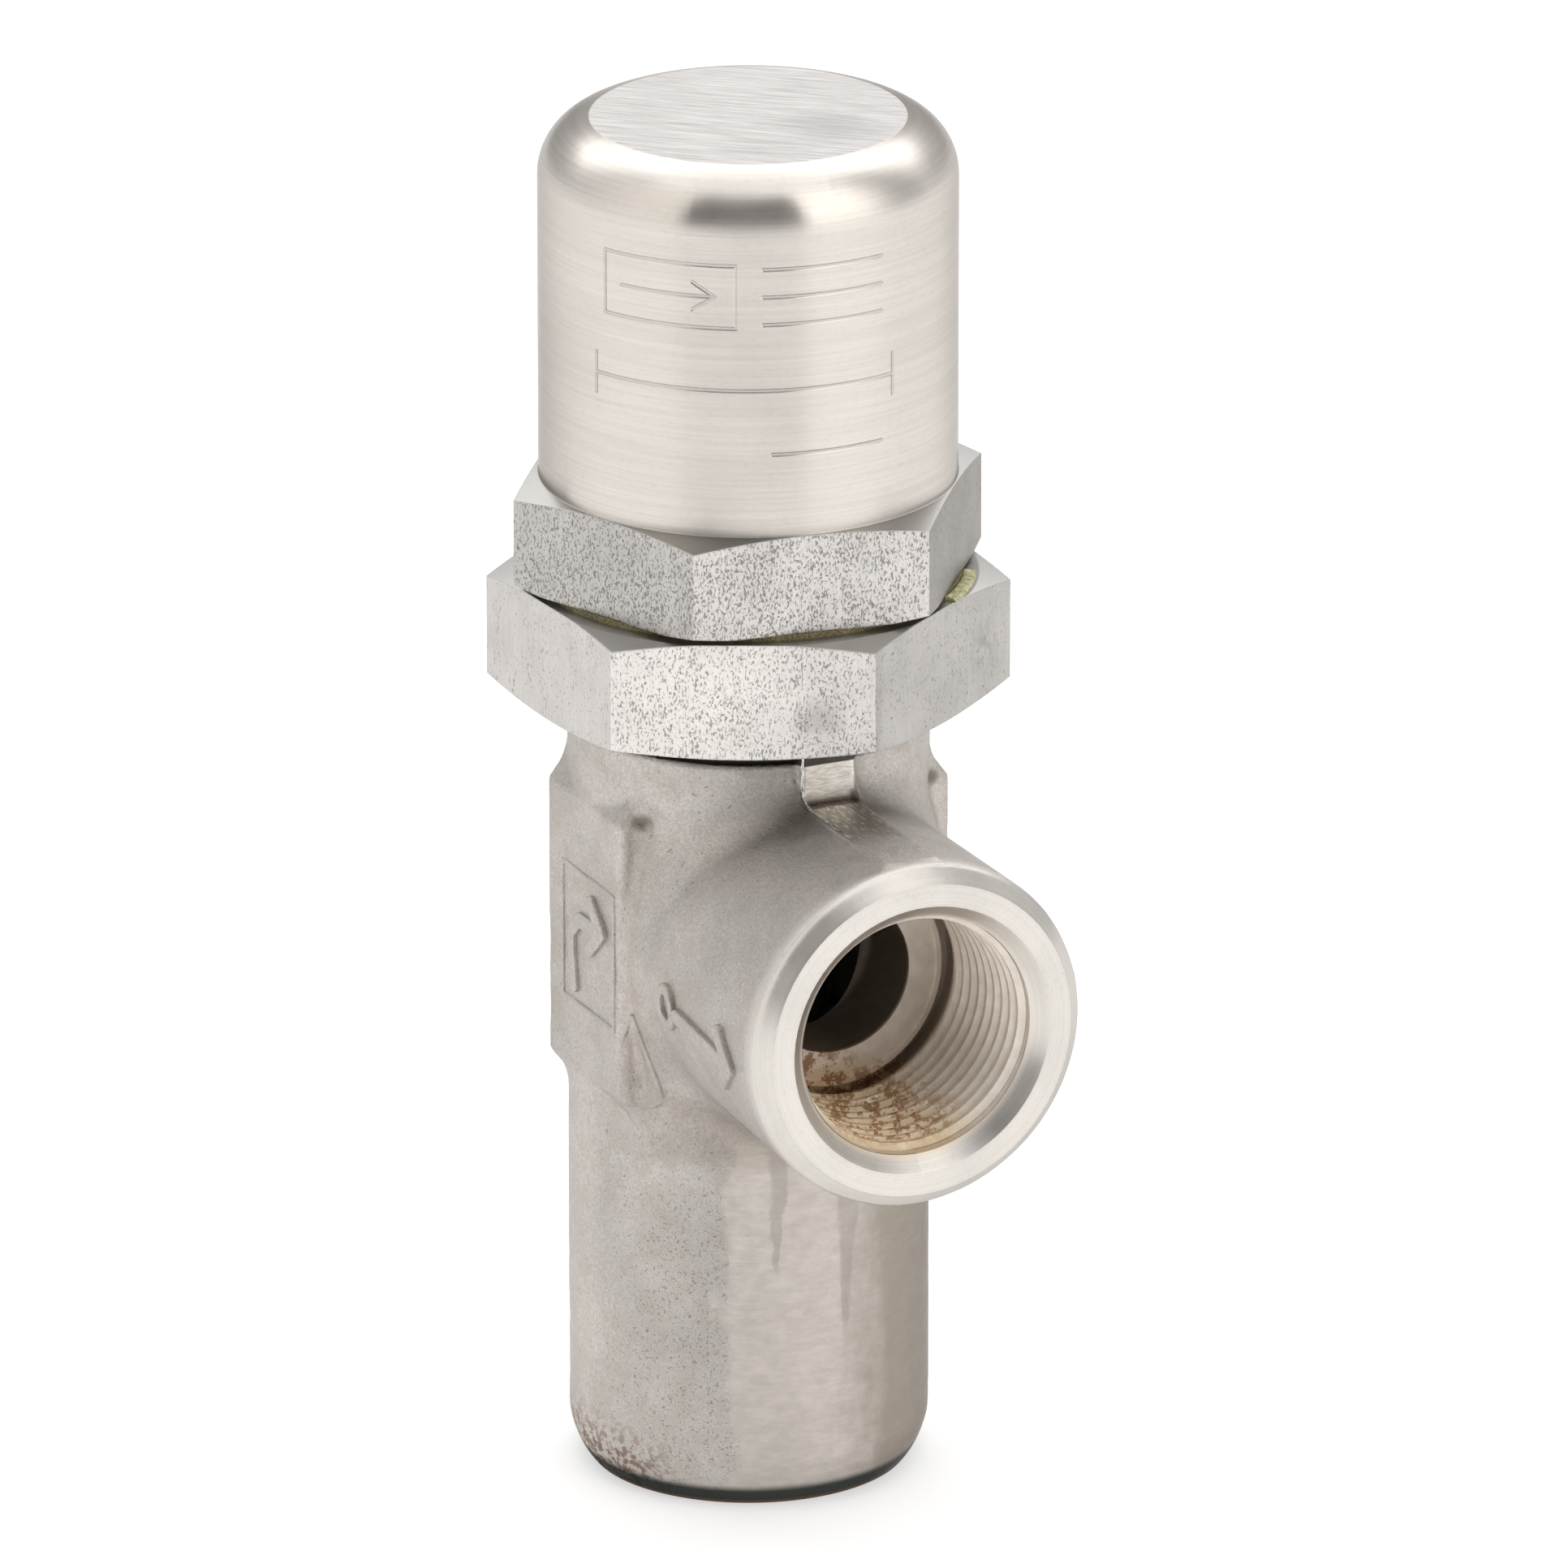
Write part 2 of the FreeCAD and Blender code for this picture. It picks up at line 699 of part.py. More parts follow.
# ---------------------------------------------------------------------------------------------------------
# Stem guide: plate with vent holes, flanged bush and snap ring
# ---------------------------------------------------------------------------------------------------------
def guide_plate():
    vents = 6
    plate = ring("guide_plate", s.bush_radius + s.running, s.guide_radius - s.running,
                 s.guide_seat, s.guide_top)
    solid = plate.Shape.Volume
    sketch = plate.newObject("Sketcher::SketchObject", "vent_outline")
    sketch.AttachmentSupport = [(origin_feature(plate, "XY_Plane"), "")]
    sketch.MapMode = "FlatFace"
    across = (s.bush_flange + s.guide_radius) / 2
    radius = (s.guide_radius - s.bush_flange) / 4
    sketch.addGeometry(Part.Circle(Vector(across.number, 0, 0), Vector(0, 0, 1), radius.number))
    sketch.addConstraint(Sketcher.Constraint("PointOnObject", 0, 3, -1))
    reach = sketch.addConstraint(Sketcher.Constraint("DistanceX", -1, 1, 0, 3, across.number))
    round_off = sketch.addConstraint(Sketcher.Constraint("Radius", 0, radius.number))
    sketch.setExpression(f"Constraints[{reach}]", across.text)
    sketch.setExpression(f"Constraints[{round_off}]", radius.text)
    vent = plate.newObject("PartDesign::Pocket", "vent")
    vent.Profile = sketch
    vent.Reversed = True
    bind(vent, "Length", s.guide_top + s.air)
    doc.recompute()
    vent_ring = plate.newObject("PartDesign::PolarPattern", "vents")
    vent_ring.Originals = [vent]
    vent_ring.Axis = (origin_feature(plate, "Z_Axis"), [""])
    vent_ring.Angle = 360
    vent_ring.Occurrences = vents
    plate.Tip = vent_ring
    doc.recompute()
    one = math.pi * radius.number ** 2 * (s.guide_top.number - s.guide_seat.number)
    if abs(solid - plate.Shape.Volume - vents * one) > 0.05 * one:
        raise RuntimeError("the guide plate's vents are not through")
    return plate


def guide_bush():
    bore = s.stem_radius + s.running
    groove_low = s.guide_top
    groove_high = groove_low + s.snap_height + s.running * 2
    return turned("bush", [
        (bore, s.guide_seat - s.bush_flange_height),
        (s.bush_flange, s.guide_seat - s.bush_flange_height),
        (s.bush_flange, s.guide_seat),
        (s.bush_radius, s.guide_seat),
        (s.bush_radius, groove_low),
        (s.snap_groove, groove_low),
        (s.snap_groove, groove_high),
        (s.bush_radius, groove_high),
        (s.bush_radius, s.bush_top),
        (bore, s.bush_top),
    ])


sub_part("stem_guide_plate", guide_plate())
sub_part("guide_bush", guide_bush())
sub_part("guide_snap_ring", split_ring("snap_ring", s.snap_groove + s.running, s.snap_outside,
                                       s.guide_top + s.running, s.guide_top + s.snap_height))


# ---------------------------------------------------------------------------------------------------------
# Spring train: lower button, spring, upper button, ball and adjusting screw
# ---------------------------------------------------------------------------------------------------------
def lower_button():
    bore = s.stem_neck + s.running
    return turned("lower_button", [
        (bore, s.stem_shoulder),
        (s.button_radius, s.stem_shoulder),
        (s.button_radius, s.spring_low),
        (s.button_hub, s.spring_low),
        (s.button_hub, s.spring_low + s.button_hub_height),
        (bore, s.spring_low + s.button_hub_height),
    ])


def spring():
    """Round wire wound between the two buttons."""
    rise = s.spring_high - s.spring_low - s.spring_wire * 2 - s.snug * 2
    line_low = s.spring_low + s.spring_wire + s.snug
    helix = doc.addObject("Part::Helix", "spring_line")
    bind(helix, "Pitch", rise / s.spring_turns)
    bind(helix, "Height", rise)
    bind(helix, "Radius", s.spring_mean)
    place(helix, z=line_low)
    wire = doc.addObject("Part::Circle", "spring_wire_section")
    bind(wire, "Radius", s.spring_wire)
    place(wire, x=s.spring_mean, z=line_low, turn=90, axis=Vector(1, 0, 0))
    doc.recompute()
    swept = doc.addObject("Part::Sweep", "spring_sweep")
    swept.Sections = [wire]
    swept.Spine = (helix, [f"Edge{number}" for number in range(1, len(helix.Shape.Edges) + 1)])
    swept.Solid = True
    swept.Frenet = True
    return swept


def upper_button():
    flange_top = s.spring_high + s.button_height
    blank = turned("upper_button_blank", [
        (ZERO, s.spring_high - s.button_hub_height),
        (s.button_hub, s.spring_high - s.button_hub_height),
        (s.button_hub, s.spring_high),
        (s.button_radius, s.spring_high),
        (s.button_radius, flange_top),
        (s.button_hub, flange_top),
        (s.button_hub, s.upper_button_top),
        (ZERO, s.upper_button_top),
    ])
    socket = sphere("upper_button_socket", s.ball_radius + s.snug, z=s.ball_height)
    return cut("upper_button", blank, socket)


def adjusting_screw():
    blank = turned("screw_blank", [
        (ZERO, s.screw_low),
        (s.collar_radius, s.screw_low),
        (s.collar_radius, s.screw_low + s.collar_height),
        (s.screw_radius, s.screw_low + s.collar_height),
        (s.screw_radius, s.screw_top - s.edge_chamfer),
        (s.screw_radius - s.edge_chamfer, s.screw_top),
        (ZERO, s.screw_top),
    ])
    rings = 12
    cut_rings(blank, s.screw_radius, s.screw_thread_depth, s.screw_pitch, s.screw_low + 2, rings)
    socket = sphere("screw_socket", s.ball_radius + s.snug, z=s.ball_height)
    slot = box("screw_slot", s.screw_radius * 3, s.slot_width, s.slot_depth + s.air,
               x=-(s.screw_radius * 1.5), y=-(s.slot_width / 2), z=s.screw_top - s.slot_depth)
    return cut("screw", blank, fuse("screw_cuts", [socket, slot]))


sub_part("lower_spring_button", lower_button())
sub_part("set_spring", spring())
sub_part("upper_spring_button", upper_button())
sub_part("thrust_ball", sphere("ball", s.ball_radius, z=s.ball_height))
sub_part("adjusting_screw", adjusting_screw())


# ---------------------------------------------------------------------------------------------------------
# Lock nut and its captive washer
# ---------------------------------------------------------------------------------------------------------
def lock_nut():
    low = s.bonnet_top + s.washer_height + s.running
    block = hexagon("nut", s.nut_flats, 0, low, low + s.nut_height, s.nut_circle, s.nut_circle)
    drill = cylinder("nut_bore", s.screw_hole, s.nut_height + s.air * 2, z=low - s.air)
    return cut("nut", block, drill)


sub_part("lock_washer", ring("washer", s.screw_hole + s.small_chamfer, s.washer_radius,
                             s.bonnet_top, s.bonnet_top + s.washer_height))
sub_part("lock_nut", lock_nut())


# ---------------------------------------------------------------------------------------------------------
# Bonnet: threaded spigot, lower hexagon and spring housing
# ---------------------------------------------------------------------------------------------------------
def bonnet():
    hexagonal = hexagon("bonnet", s.bonnet_flats, s.bonnet_hex_turn, s.bonnet_hex_low, s.bonnet_hex_high,
                        s.bonnet_low_circle, s.bonnet_high_circle)
    inside_hexagon = s.bonnet_hex_low + s.air
    shank = turned("bonnet_shank", [
        (ZERO, s.guide_top),
        (s.spigot_radius - s.edge_chamfer, s.guide_top),
        (s.spigot_radius, s.guide_top + s.edge_chamfer),
        (s.spigot_radius, inside_hexagon),
        (s.cap_thread_radius, inside_hexagon),
        (s.cap_thread_radius, s.cap_thread_top - s.edge_chamfer),
        (s.bonnet_tube, s.cap_thread_top),
        (s.bonnet_tube, s.bonnet_top - s.edge_chamfer),
        (s.bonnet_tube - s.edge_chamfer, s.bonnet_top),
        (ZERO, s.bonnet_top),
    ])
    rings = 5
    for radius, low in ((s.spigot_radius, s.guide_top + s.edge_chamfer),
                        (s.cap_thread_radius, s.bonnet_hex_high + s.edge_chamfer)):
        cut_rings(shank, radius, s.cap_thread_depth, s.cap_thread_pitch, low, rings)
    cavity = turned("spring_cavity", [
        (ZERO, s.guide_top - s.air),
        (s.spring_cavity, s.guide_top - s.air),
        (s.spring_cavity, s.cavity_top - s.cavity_corner),
        (s.spring_cavity - s.cavity_corner, s.cavity_top),
        (s.screw_hole, s.cavity_top),
        (s.screw_hole, s.bonnet_top + s.air),
        (ZERO, s.bonnet_top + s.air),
    ])
    return cut("bonnet_bored", fuse("bonnet_solid", [hexagonal, shank]), cavity)


sub_part("bonnet", bonnet())
sub_part("bonnet_gasket", ring("neck_gasket", s.bonnet_gasket_inside, s.bonnet_gasket_outside,
                               s.neck_top, s.bonnet_hex_low))


# ---------------------------------------------------------------------------------------------------------
# Cap: dome with the upper hexagon, its gasket, and the sealing compound on the joint
# ---------------------------------------------------------------------------------------------------------
def cap():
    hexagonal = hexagon("cap", s.cap_flats, s.cap_hex_turn, s.cap_hex_low,
                        s.cap_shoulder, s.cap_low_circle, s.cap_radius)
    inside_hexagon = (s.cap_hex_low + s.cap_shoulder) / 2
    dome = turned("cap_dome", [
        (ZERO, inside_hexagon),
        (s.cap_radius, inside_hexagon),
        (s.cap_radius, s.crown_low),
        (s.cap_top_radius, s.cap_top, s.crown_rounding),
        (ZERO, s.cap_top),
    ])
    thread = s.cap_thread_radius + s.running
    cavity = turned("cap_cavity", [
        (ZERO, s.cap_hex_low - s.air),
        (thread, s.cap_hex_low - s.air),
        (thread, s.cap_bore_low - s.cap_bore + thread),
        (s.cap_bore, s.cap_bore_low),
        (s.cap_bore, s.cap_bore_top),
        (s.cap_roof_radius, s.cap_roof),
        (ZERO, s.cap_roof),
    ])
    return cut("cap_bored", fuse("cap_solid", [hexagonal, dome]), cavity)


def compound():
    """Thin dab on the bonnet hexagon's top face, against the gasket's edge."""
    low = s.bonnet_hex_high
    dab = turned("compound", [
        (s.compound_inside, low),
        (s.compound_outside, low),
        (s.compound_outside - s.small_chamfer, low + s.compound_height - s.running * 2),
        (s.compound_inside + s.small_chamfer, low + s.compound_height),
        (s.compound_inside, low + s.compound_height - s.running),
    ], s.compound_sweep)
    return place(dab, turn=s.compound_start)


sub_part("cap", cap())
sub_part("cap_gasket", ring("cap_seal", s.cap_gasket_inside, s.cap_gasket_outside,
                            s.bonnet_hex_high, s.cap_hex_low))
sub_part("sealing_compound", compound())


# ---------------------------------------------------------------------------------------------------------
# Check and write
# ---------------------------------------------------------------------------------------------------------
doc.recompute()
for item in doc.Objects:
    if "Invalid" in item.State or "Error" in item.State:
        raise RuntimeError(f"{item.Name} failed: {item.State}")
for node, item in parts.items():
    if item.Shape.isNull() or not item.Shape.isValid():
        raise RuntimeError(f"{node} has no valid shape")
    if len(item.Shape.Solids) != 1:
        raise RuntimeError(f"{node} is {len(item.Shape.Solids)} solids, not one")

os.makedirs("parts", exist_ok=True)
for node, item in parts.items():
    item.Shape.exportStep(f"parts/{node}.step")
    bounds = item.Shape.BoundBox
    print(f"{node:22} {item.Shape.Volume:10.1f} mm3   z {bounds.ZMin:7.2f} to {bounds.ZMax:7.2f}")
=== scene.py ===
"""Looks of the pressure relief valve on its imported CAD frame. CAD frame, Z up, metres in the scene.

Lengths in this script are millimetres, and MM turns them into metres.
"""

import json
import math

import bmesh
import bpy
import numpy as np
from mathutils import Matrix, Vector


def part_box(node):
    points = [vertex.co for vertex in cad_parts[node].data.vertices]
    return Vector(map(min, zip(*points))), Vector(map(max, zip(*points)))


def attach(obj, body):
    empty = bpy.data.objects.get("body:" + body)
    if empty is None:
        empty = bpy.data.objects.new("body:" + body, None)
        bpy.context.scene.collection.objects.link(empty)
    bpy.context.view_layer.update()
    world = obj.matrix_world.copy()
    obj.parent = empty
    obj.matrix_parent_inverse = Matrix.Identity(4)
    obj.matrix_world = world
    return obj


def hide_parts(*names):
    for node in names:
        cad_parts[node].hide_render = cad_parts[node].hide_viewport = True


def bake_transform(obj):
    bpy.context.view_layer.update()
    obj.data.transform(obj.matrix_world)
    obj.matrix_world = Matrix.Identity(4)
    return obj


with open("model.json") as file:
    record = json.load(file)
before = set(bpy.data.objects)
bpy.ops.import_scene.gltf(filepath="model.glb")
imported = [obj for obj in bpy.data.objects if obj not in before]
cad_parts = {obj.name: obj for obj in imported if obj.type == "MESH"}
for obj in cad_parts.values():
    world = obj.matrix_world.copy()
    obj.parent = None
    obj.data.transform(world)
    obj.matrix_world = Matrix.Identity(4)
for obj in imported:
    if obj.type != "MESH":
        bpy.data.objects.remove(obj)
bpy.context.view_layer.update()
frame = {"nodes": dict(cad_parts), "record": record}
nodes = frame["nodes"]
MM = 0.001


def box_mm(node):
    low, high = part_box(node)
    return [value / MM for value in low], [value / MM for value in high]


def mount(name):
    """A mount of the record: its place in millimetres and its own sizes."""
    found = next(item for item in frame["record"]["mounts"] if item["name"] == name)
    return [value / MM for value in found["pos_m"]], found["dims"]


body_low, body_high = box_mm("body")
_cap_low, cap_high = box_mm("cap")
outlet_place, outlet_sizes = mount("outlet_port")
inlet_place, inlet_sizes = mount("inlet_port")
BARREL = -body_low[0]
PAD_FACE = body_high[1]
NECK_TOP = body_high[2]
PORT_FACE = body_high[0]
PORT_HEIGHT = outlet_place[2]
THREAD_ROOT = outlet_sizes["r_mm"]
CAP_TOP = cap_high[2]
CAP_RADIUS, CAP_SHOULDER = 22.0, 110.0      # the cap's turned side, and its hexagon's upper end
CAP_BRUSHING = math.radians(-51.0)

# ---- Camera
VIEW_AZIMUTH = math.radians(65.0)
VIEW_ELEVATION = math.radians(19.99)
VIEW_DISTANCE = 2.0827
VIEW_HEIGHT = 0.0748
VIEW_ASIDE = 0.003745
towards_camera = Vector((math.sin(VIEW_AZIMUTH), -math.cos(VIEW_AZIMUTH), 0))
camera_right = Vector((math.cos(VIEW_AZIMUTH), math.sin(VIEW_AZIMUTH), 0))


def linked(name, data):
    """A new object in the scene."""
    thing = bpy.data.objects.new(name, data)
    bpy.context.scene.collection.objects.link(thing)
    return thing


def make_camera():
    data = bpy.data.cameras.new("camera")
    data.lens = 454.0
    data.sensor_width = 36.0
    data.clip_start = 0.05
    data.clip_end = 50.0
    camera = linked("camera", data)
    target = Vector((0, 0, VIEW_HEIGHT)) + camera_right * VIEW_ASIDE
    back = towards_camera * math.cos(VIEW_ELEVATION) + Vector((0, 0, math.sin(VIEW_ELEVATION)))
    camera.location = target + back * VIEW_DISTANCE
    camera.rotation_mode = "QUATERNION"
    camera.rotation_quaternion = (-back).to_track_quat("-Z", "Y")
    bpy.context.scene.camera = camera


make_camera()
bpy.context.scene.view_settings.view_transform = "Standard"


# ---- Shapes from signed distance, in millimetres: negative inside
def round_union(a, b, radius):
    corner = np.hypot(np.maximum(radius - a, 0), np.maximum(radius - b, 0))
    return np.maximum(radius, np.minimum(a, b)) - corner


def round_intersection(a, b, radius):
    corner = np.hypot(np.maximum(radius + a, 0), np.maximum(radius + b, 0))
    return np.minimum(-radius, np.maximum(a, b)) + corner


def rod(places, start, end, start_radius, end_radius):
    """Straight tapered rod with round ends, in two or three dimensions."""
    start, end = np.array(start), np.array(end)
    reach = end - start
    share = np.clip(sum((p - s) * r for p, s, r in zip(places, start, reach)) / (reach @ reach), 0, 1)
    away = sum((p - s - share * r) ** 2 for p, s, r in zip(places, start, reach))
    return np.sqrt(away) - start_radius - (end_radius - start_radius) * share


def strokes(places, corners, radius):
    """Round-ended strokes through a list of corners."""
    result = None
    for start, end in zip(corners, corners[1:]):
        stroke = rod(places, start, end, radius, radius)
        result = stroke if result is None else np.minimum(result, stroke)
    return result


def arrow(places, tip, tail, head, radius):
    """Shaft and two head strokes."""
    tip, tail = np.array(tip), np.array(tail)
    along = (tail - tip) / np.linalg.norm(tail - tip)
    aside = np.array([-along[1], along[0]])
    barbs = [tuple(tip + (along + aside * side) * head) for side in (-1, 1)]
    return np.minimum(strokes(places, [tuple(tail), tuple(tip)], radius),
                      strokes(places, [barbs[0], tuple(tip), barbs[1]], radius))


FOOT, FOOT_ROUNDING = 16.9, 2.4
BOSS, BOSS_ROOT, BOSS_RISE, BOSS_CHAMFER, BOSS_BLEND = 18.9, 17.7, 0.7, 1.8, 4.0
PAD_WIDTH, PAD_LOW, PAD_HIGH, PAD_ROUNDING, PAD_BLEND = 9.3, 45.3, 75.8, 1.0, 1.0
TAPER_RUN, TAPER_RISE = 0.8, 0.6
EVEN_RIM, RIM_FADE = 0.4, 3.0
# rods cut out of the pad's upper end: start, end, radius at each
PAD_NOTCH = ((9.5, 17.2, 76.9), (10.6, 16.9, 75.9), 0.3, 1.1)
PAD_VALLEY = ((11.0, 17.7, 75.4), (11.9, 17.2, 71.4), 0.9, 0.5)
NECK_GAP, GROOVE_DEPTH = 83.65, 1.2
LAND_WIDTH, LAND_REACH, LAND_LOW = 3.0, 19.75, 76.0


def forged_shape(x, y, z):
    """Outside of the forged body, open at the bottom, at the neck and at the outlet's face."""
    axis = np.array([PORT_FACE, 0.0, -BOSS_RISE])
    axis = axis / np.linalg.norm(axis)
    rise = z - PORT_HEIGHT - BOSS_RISE
    along = x * axis[0] + rise * axis[2]
    away = np.sqrt((x - along * axis[0]) ** 2 + y ** 2 + (rise - along * axis[2]) ** 2)
    boss = away - BOSS_ROOT - (BOSS - BOSS_ROOT) * along / PORT_FACE
    boss = np.maximum(boss, -along)
    port_radius = np.hypot(y, z - PORT_HEIGHT)
    chamfer = (port_radius + x - (BOSS + PORT_FACE - BOSS_CHAMFER)) * math.sqrt(0.5)
    boss = round_intersection(boss, chamfer, 0.4)

    side = np.abs(y)
    radius = np.hypot(x, y)
    slope = (radius - z - FOOT) * math.sqrt(0.5)
    barrel = round_intersection(radius - BARREL, slope, FOOT_ROUNDING)
    shape = round_union(barrel, boss, BOSS_BLEND)

    pad = np.maximum(side - PAD_FACE, (side - PAD_FACE) * TAPER_RUN - (z - PAD_LOW) * TAPER_RISE)
    pad = np.maximum(pad, (side - PAD_FACE) * TAPER_RUN + (z - PAD_HIGH) * TAPER_RISE)
    pad = round_intersection(pad, np.abs(x) - PAD_WIDTH, PAD_ROUNDING)
    edge_share = np.clip((np.abs(x) - 7.4) / 1.6, 0, 1)
    shape = round_union(shape, pad, 0.02 + PAD_BLEND * edge_share)
    shape = np.maximum(shape, -rod((x, side, z), *PAD_NOTCH))
    shape = -round_union(-shape, rod((x, side, z), *PAD_VALLEY), 0.5)
    groove = np.maximum(NECK_GAP - z, BARREL - GROOVE_DEPTH - radius)
    shape = np.maximum(shape, -groove)

    band = np.abs(y) - LAND_WIDTH
    neck_land = np.maximum(np.maximum(band, x - LAND_REACH), LAND_LOW - z)
    boss_land = np.maximum(np.maximum(band, np.abs(z - PORT_HEIGHT - BOSS / 2) - BOSS / 2),
                           x - (PORT_FACE - BOSS_CHAMFER - 1.0))
    shape = round_union(shape, np.maximum(neck_land, -x), 0.4 + 0.8 * np.clip(y / 2.0, 0, 1))
    shape = round_union(shape, np.maximum(boss_land, -x), 0.4)
    corner = np.maximum(np.maximum(band, LAND_REACH - x), PORT_HEIGHT + BOSS - z)
    return np.maximum(shape, -corner)


def flow_arrow_on_pad(x, z):
    """Elbow arrow for an angle valve, in at the bottom and out at the side."""
    elbow = strokes((x, z), [(-1.6, 54.8), (-1.6, 60.8), (0.4, 62.8), (4.6, 62.8)], 0.8)
    return np.minimum(elbow, arrow((x, z), (5.4, 62.8), (2.0, 62.8), 2.6, 0.8))


def frame_on_pad(x, z):
    return np.abs(np.maximum(np.abs(x - 1.4), np.abs(z - 60.2) * 0.86) - 6.4) - 0.22


def flow_arrow_on_boss(x, z):
    return arrow((x, z), (35.6, 58.0), (22.0, 59.0), 2.9, 0.85)


def ring_on_boss(x, z):
    """Small oval ring at the arrow's tail."""
    return np.abs(np.hypot((x - 19.0) * 1.25, z - 59.1) - 2.0) - 0.6


def forging_finger(x, z):
    """Low round-ended swelling at the lower end of the pad's side wall."""
    return rod((x, z), (10.1, 46.0), (9.9, 55.0), 1.6, 0.15)


# name: outline, height over the skin, then the lowest and highest X and Z
MARKS = {
    "pad_flow_arrow": (flow_arrow_on_pad, 0.60, -3.4, 7.4, 53.0, 67.0),
    "pad_frame": (frame_on_pad, 0.22, -6.2, 9.0, 51.6, 68.8),
    "boss_flow_arrow": (flow_arrow_on_boss, 0.60, 20.4, 37.4, 53.6, 62.8),
    "boss_ring": (ring_on_boss, 0.55, 16.0, 22.0, 55.8, 62.4),
    "pad_finger": (forging_finger, 0.32, 8.0, 12.2, 43.8, 56.0),
}


def gradient(shape, places, reach=0.02):
    slopes = []
    for way in range(3):
        ahead, behind = [p.copy() for p in places], [p.copy() for p in places]
        ahead[way] += reach
        behind[way] -= reach
        slopes.append((shape(*ahead) - shape(*behind)) / (2 * reach))
    return np.array(slopes)


CORNERS = np.array([(i, j, k) for i in (0, 1) for j in (0, 1) for k in (0, 1)])
EDGES = [(a, b) for a in range(8) for b in range(a + 1, 8) if np.abs(CORNERS[a] - CORNERS[b]).sum() == 1]


def surface_net(shape, low, counts, step):
    """Quads round the places where the shape's distance changes sign, one vertex in each cell passed."""
    ticks = [start + step * np.arange(count) for start, count in zip(low, counts)]
    field = np.empty(counts, np.float32)
    slab = 16
    for first in range(0, counts[2], slab):
        grid = np.meshgrid(ticks[0], ticks[1], ticks[2][first:first + slab], indexing="ij")
        field[:, :, first:first + slab] = shape(*grid)
    inside = field < 0
    cells = tuple(count - 1 for count in counts)
    tally = np.zeros(cells, np.int8)
    for i, j, k in CORNERS:
        tally += inside[i:i + cells[0], j:j + cells[1], k:k + cells[2]]
    found = np.argwhere((tally > 0) & (tally < 8))
    values = np.stack([field[tuple((found + corner).T)] for corner in CORNERS], axis=1)
    total, count = np.zeros((len(found), 3)), np.zeros(len(found))
    for a, b in EDGES:
        crossed = (values[:, a] < 0) != (values[:, b] < 0)
        start, end = values[crossed, a], values[crossed, b]
        share = (start / (start - end))[:, None]
        total[crossed] += CORNERS[a] + share * (CORNERS[b] - CORNERS[a])
        count[crossed] += 1
    places = (found + total / count[:, None]) * step + np.array(low)

    number = np.full(cells, -1)
    number[tuple(found.T)] = np.arange(len(found))
    quads = []
    for way in range(3):
        one, two = (way + 1) % 3, (way + 2) % 3
        near = np.take(inside, np.arange(counts[way] - 1), axis=way)
        far = np.take(inside, np.arange(1, counts[way]), axis=way)
        edge = np.argwhere(near != far)
        edge = edge[(edge[:, one] > 0) & (edge[:, two] > 0)
                    & (edge[:, one] < cells[one]) & (edge[:, two] < cells[two])]
        ring = []
        for back_one, back_two in ((1, 1), (0, 1), (0, 0), (1, 0)):
            cell = edge.copy()
            cell[:, one] -= back_one
            cell[:, two] -= back_two
            ring.append(number[tuple(cell.T)])
        quad = np.stack(ring, axis=1)
        leaving = near[tuple(edge.T)]
        quad[~leaving] = quad[~leaving][:, ::-1]
        quads.append(quad)
    return places, np.concatenate(quads)


def settle(shape, places, held):
    """Move each vertex onto the shape, leaving alone the coordinates that are held."""
    for _round in range(3):
        columns = [places[:, way] for way in range(3)]
        slope = gradient(shape, columns)
        slope[held.T] = 0
        size = np.maximum((slope ** 2).sum(axis=0), 0.05)
        places -= (np.clip(shape(*columns), -0.3, 0.3) / size * slope).T
    return places


def ripple(places, seed, waves, length):
    """Smooth seeded unevenness between about -1 and 1."""
    random = np.random.default_rng(seed)
    ways = random.normal(size=(waves, 3))
    ways /= np.linalg.norm(ways, axis=1)[:, None]
    ways *= 2 * math.pi / (length * random.uniform(0.6, 1.6, size=(waves, 1)))
    starts = random.uniform(0, 2 * math.pi, size=waves)
    return np.sin(places @ ways.T + starts).sum(axis=1) / math.sqrt(waves)


# ---- Pieces
def mesh_piece(name, places, faces, body):
    """A piece from vertices in millimetres, riding on a body."""
    mesh = bpy.data.meshes.new(name)
    mesh.from_pydata((np.asarray(places) * MM).tolist(), [], [list(face) for face in faces])
    mesh.update()
    mesh.polygons.foreach_set("use_smooth", [True] * len(mesh.polygons))
    piece = linked(name, mesh)
    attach(piece, body)
    return piece


def tube_faces(rings, corners):
    """Quads joining each ring of vertices to the next."""
    faces = []
    for number in range(rings - 1):
        first, second = number * corners, (number + 1) * corners
        for corner in range(corners):
            after = (corner + 1) % corners
            faces.append((first + corner, first + after, second + after, second + corner))
    return faces


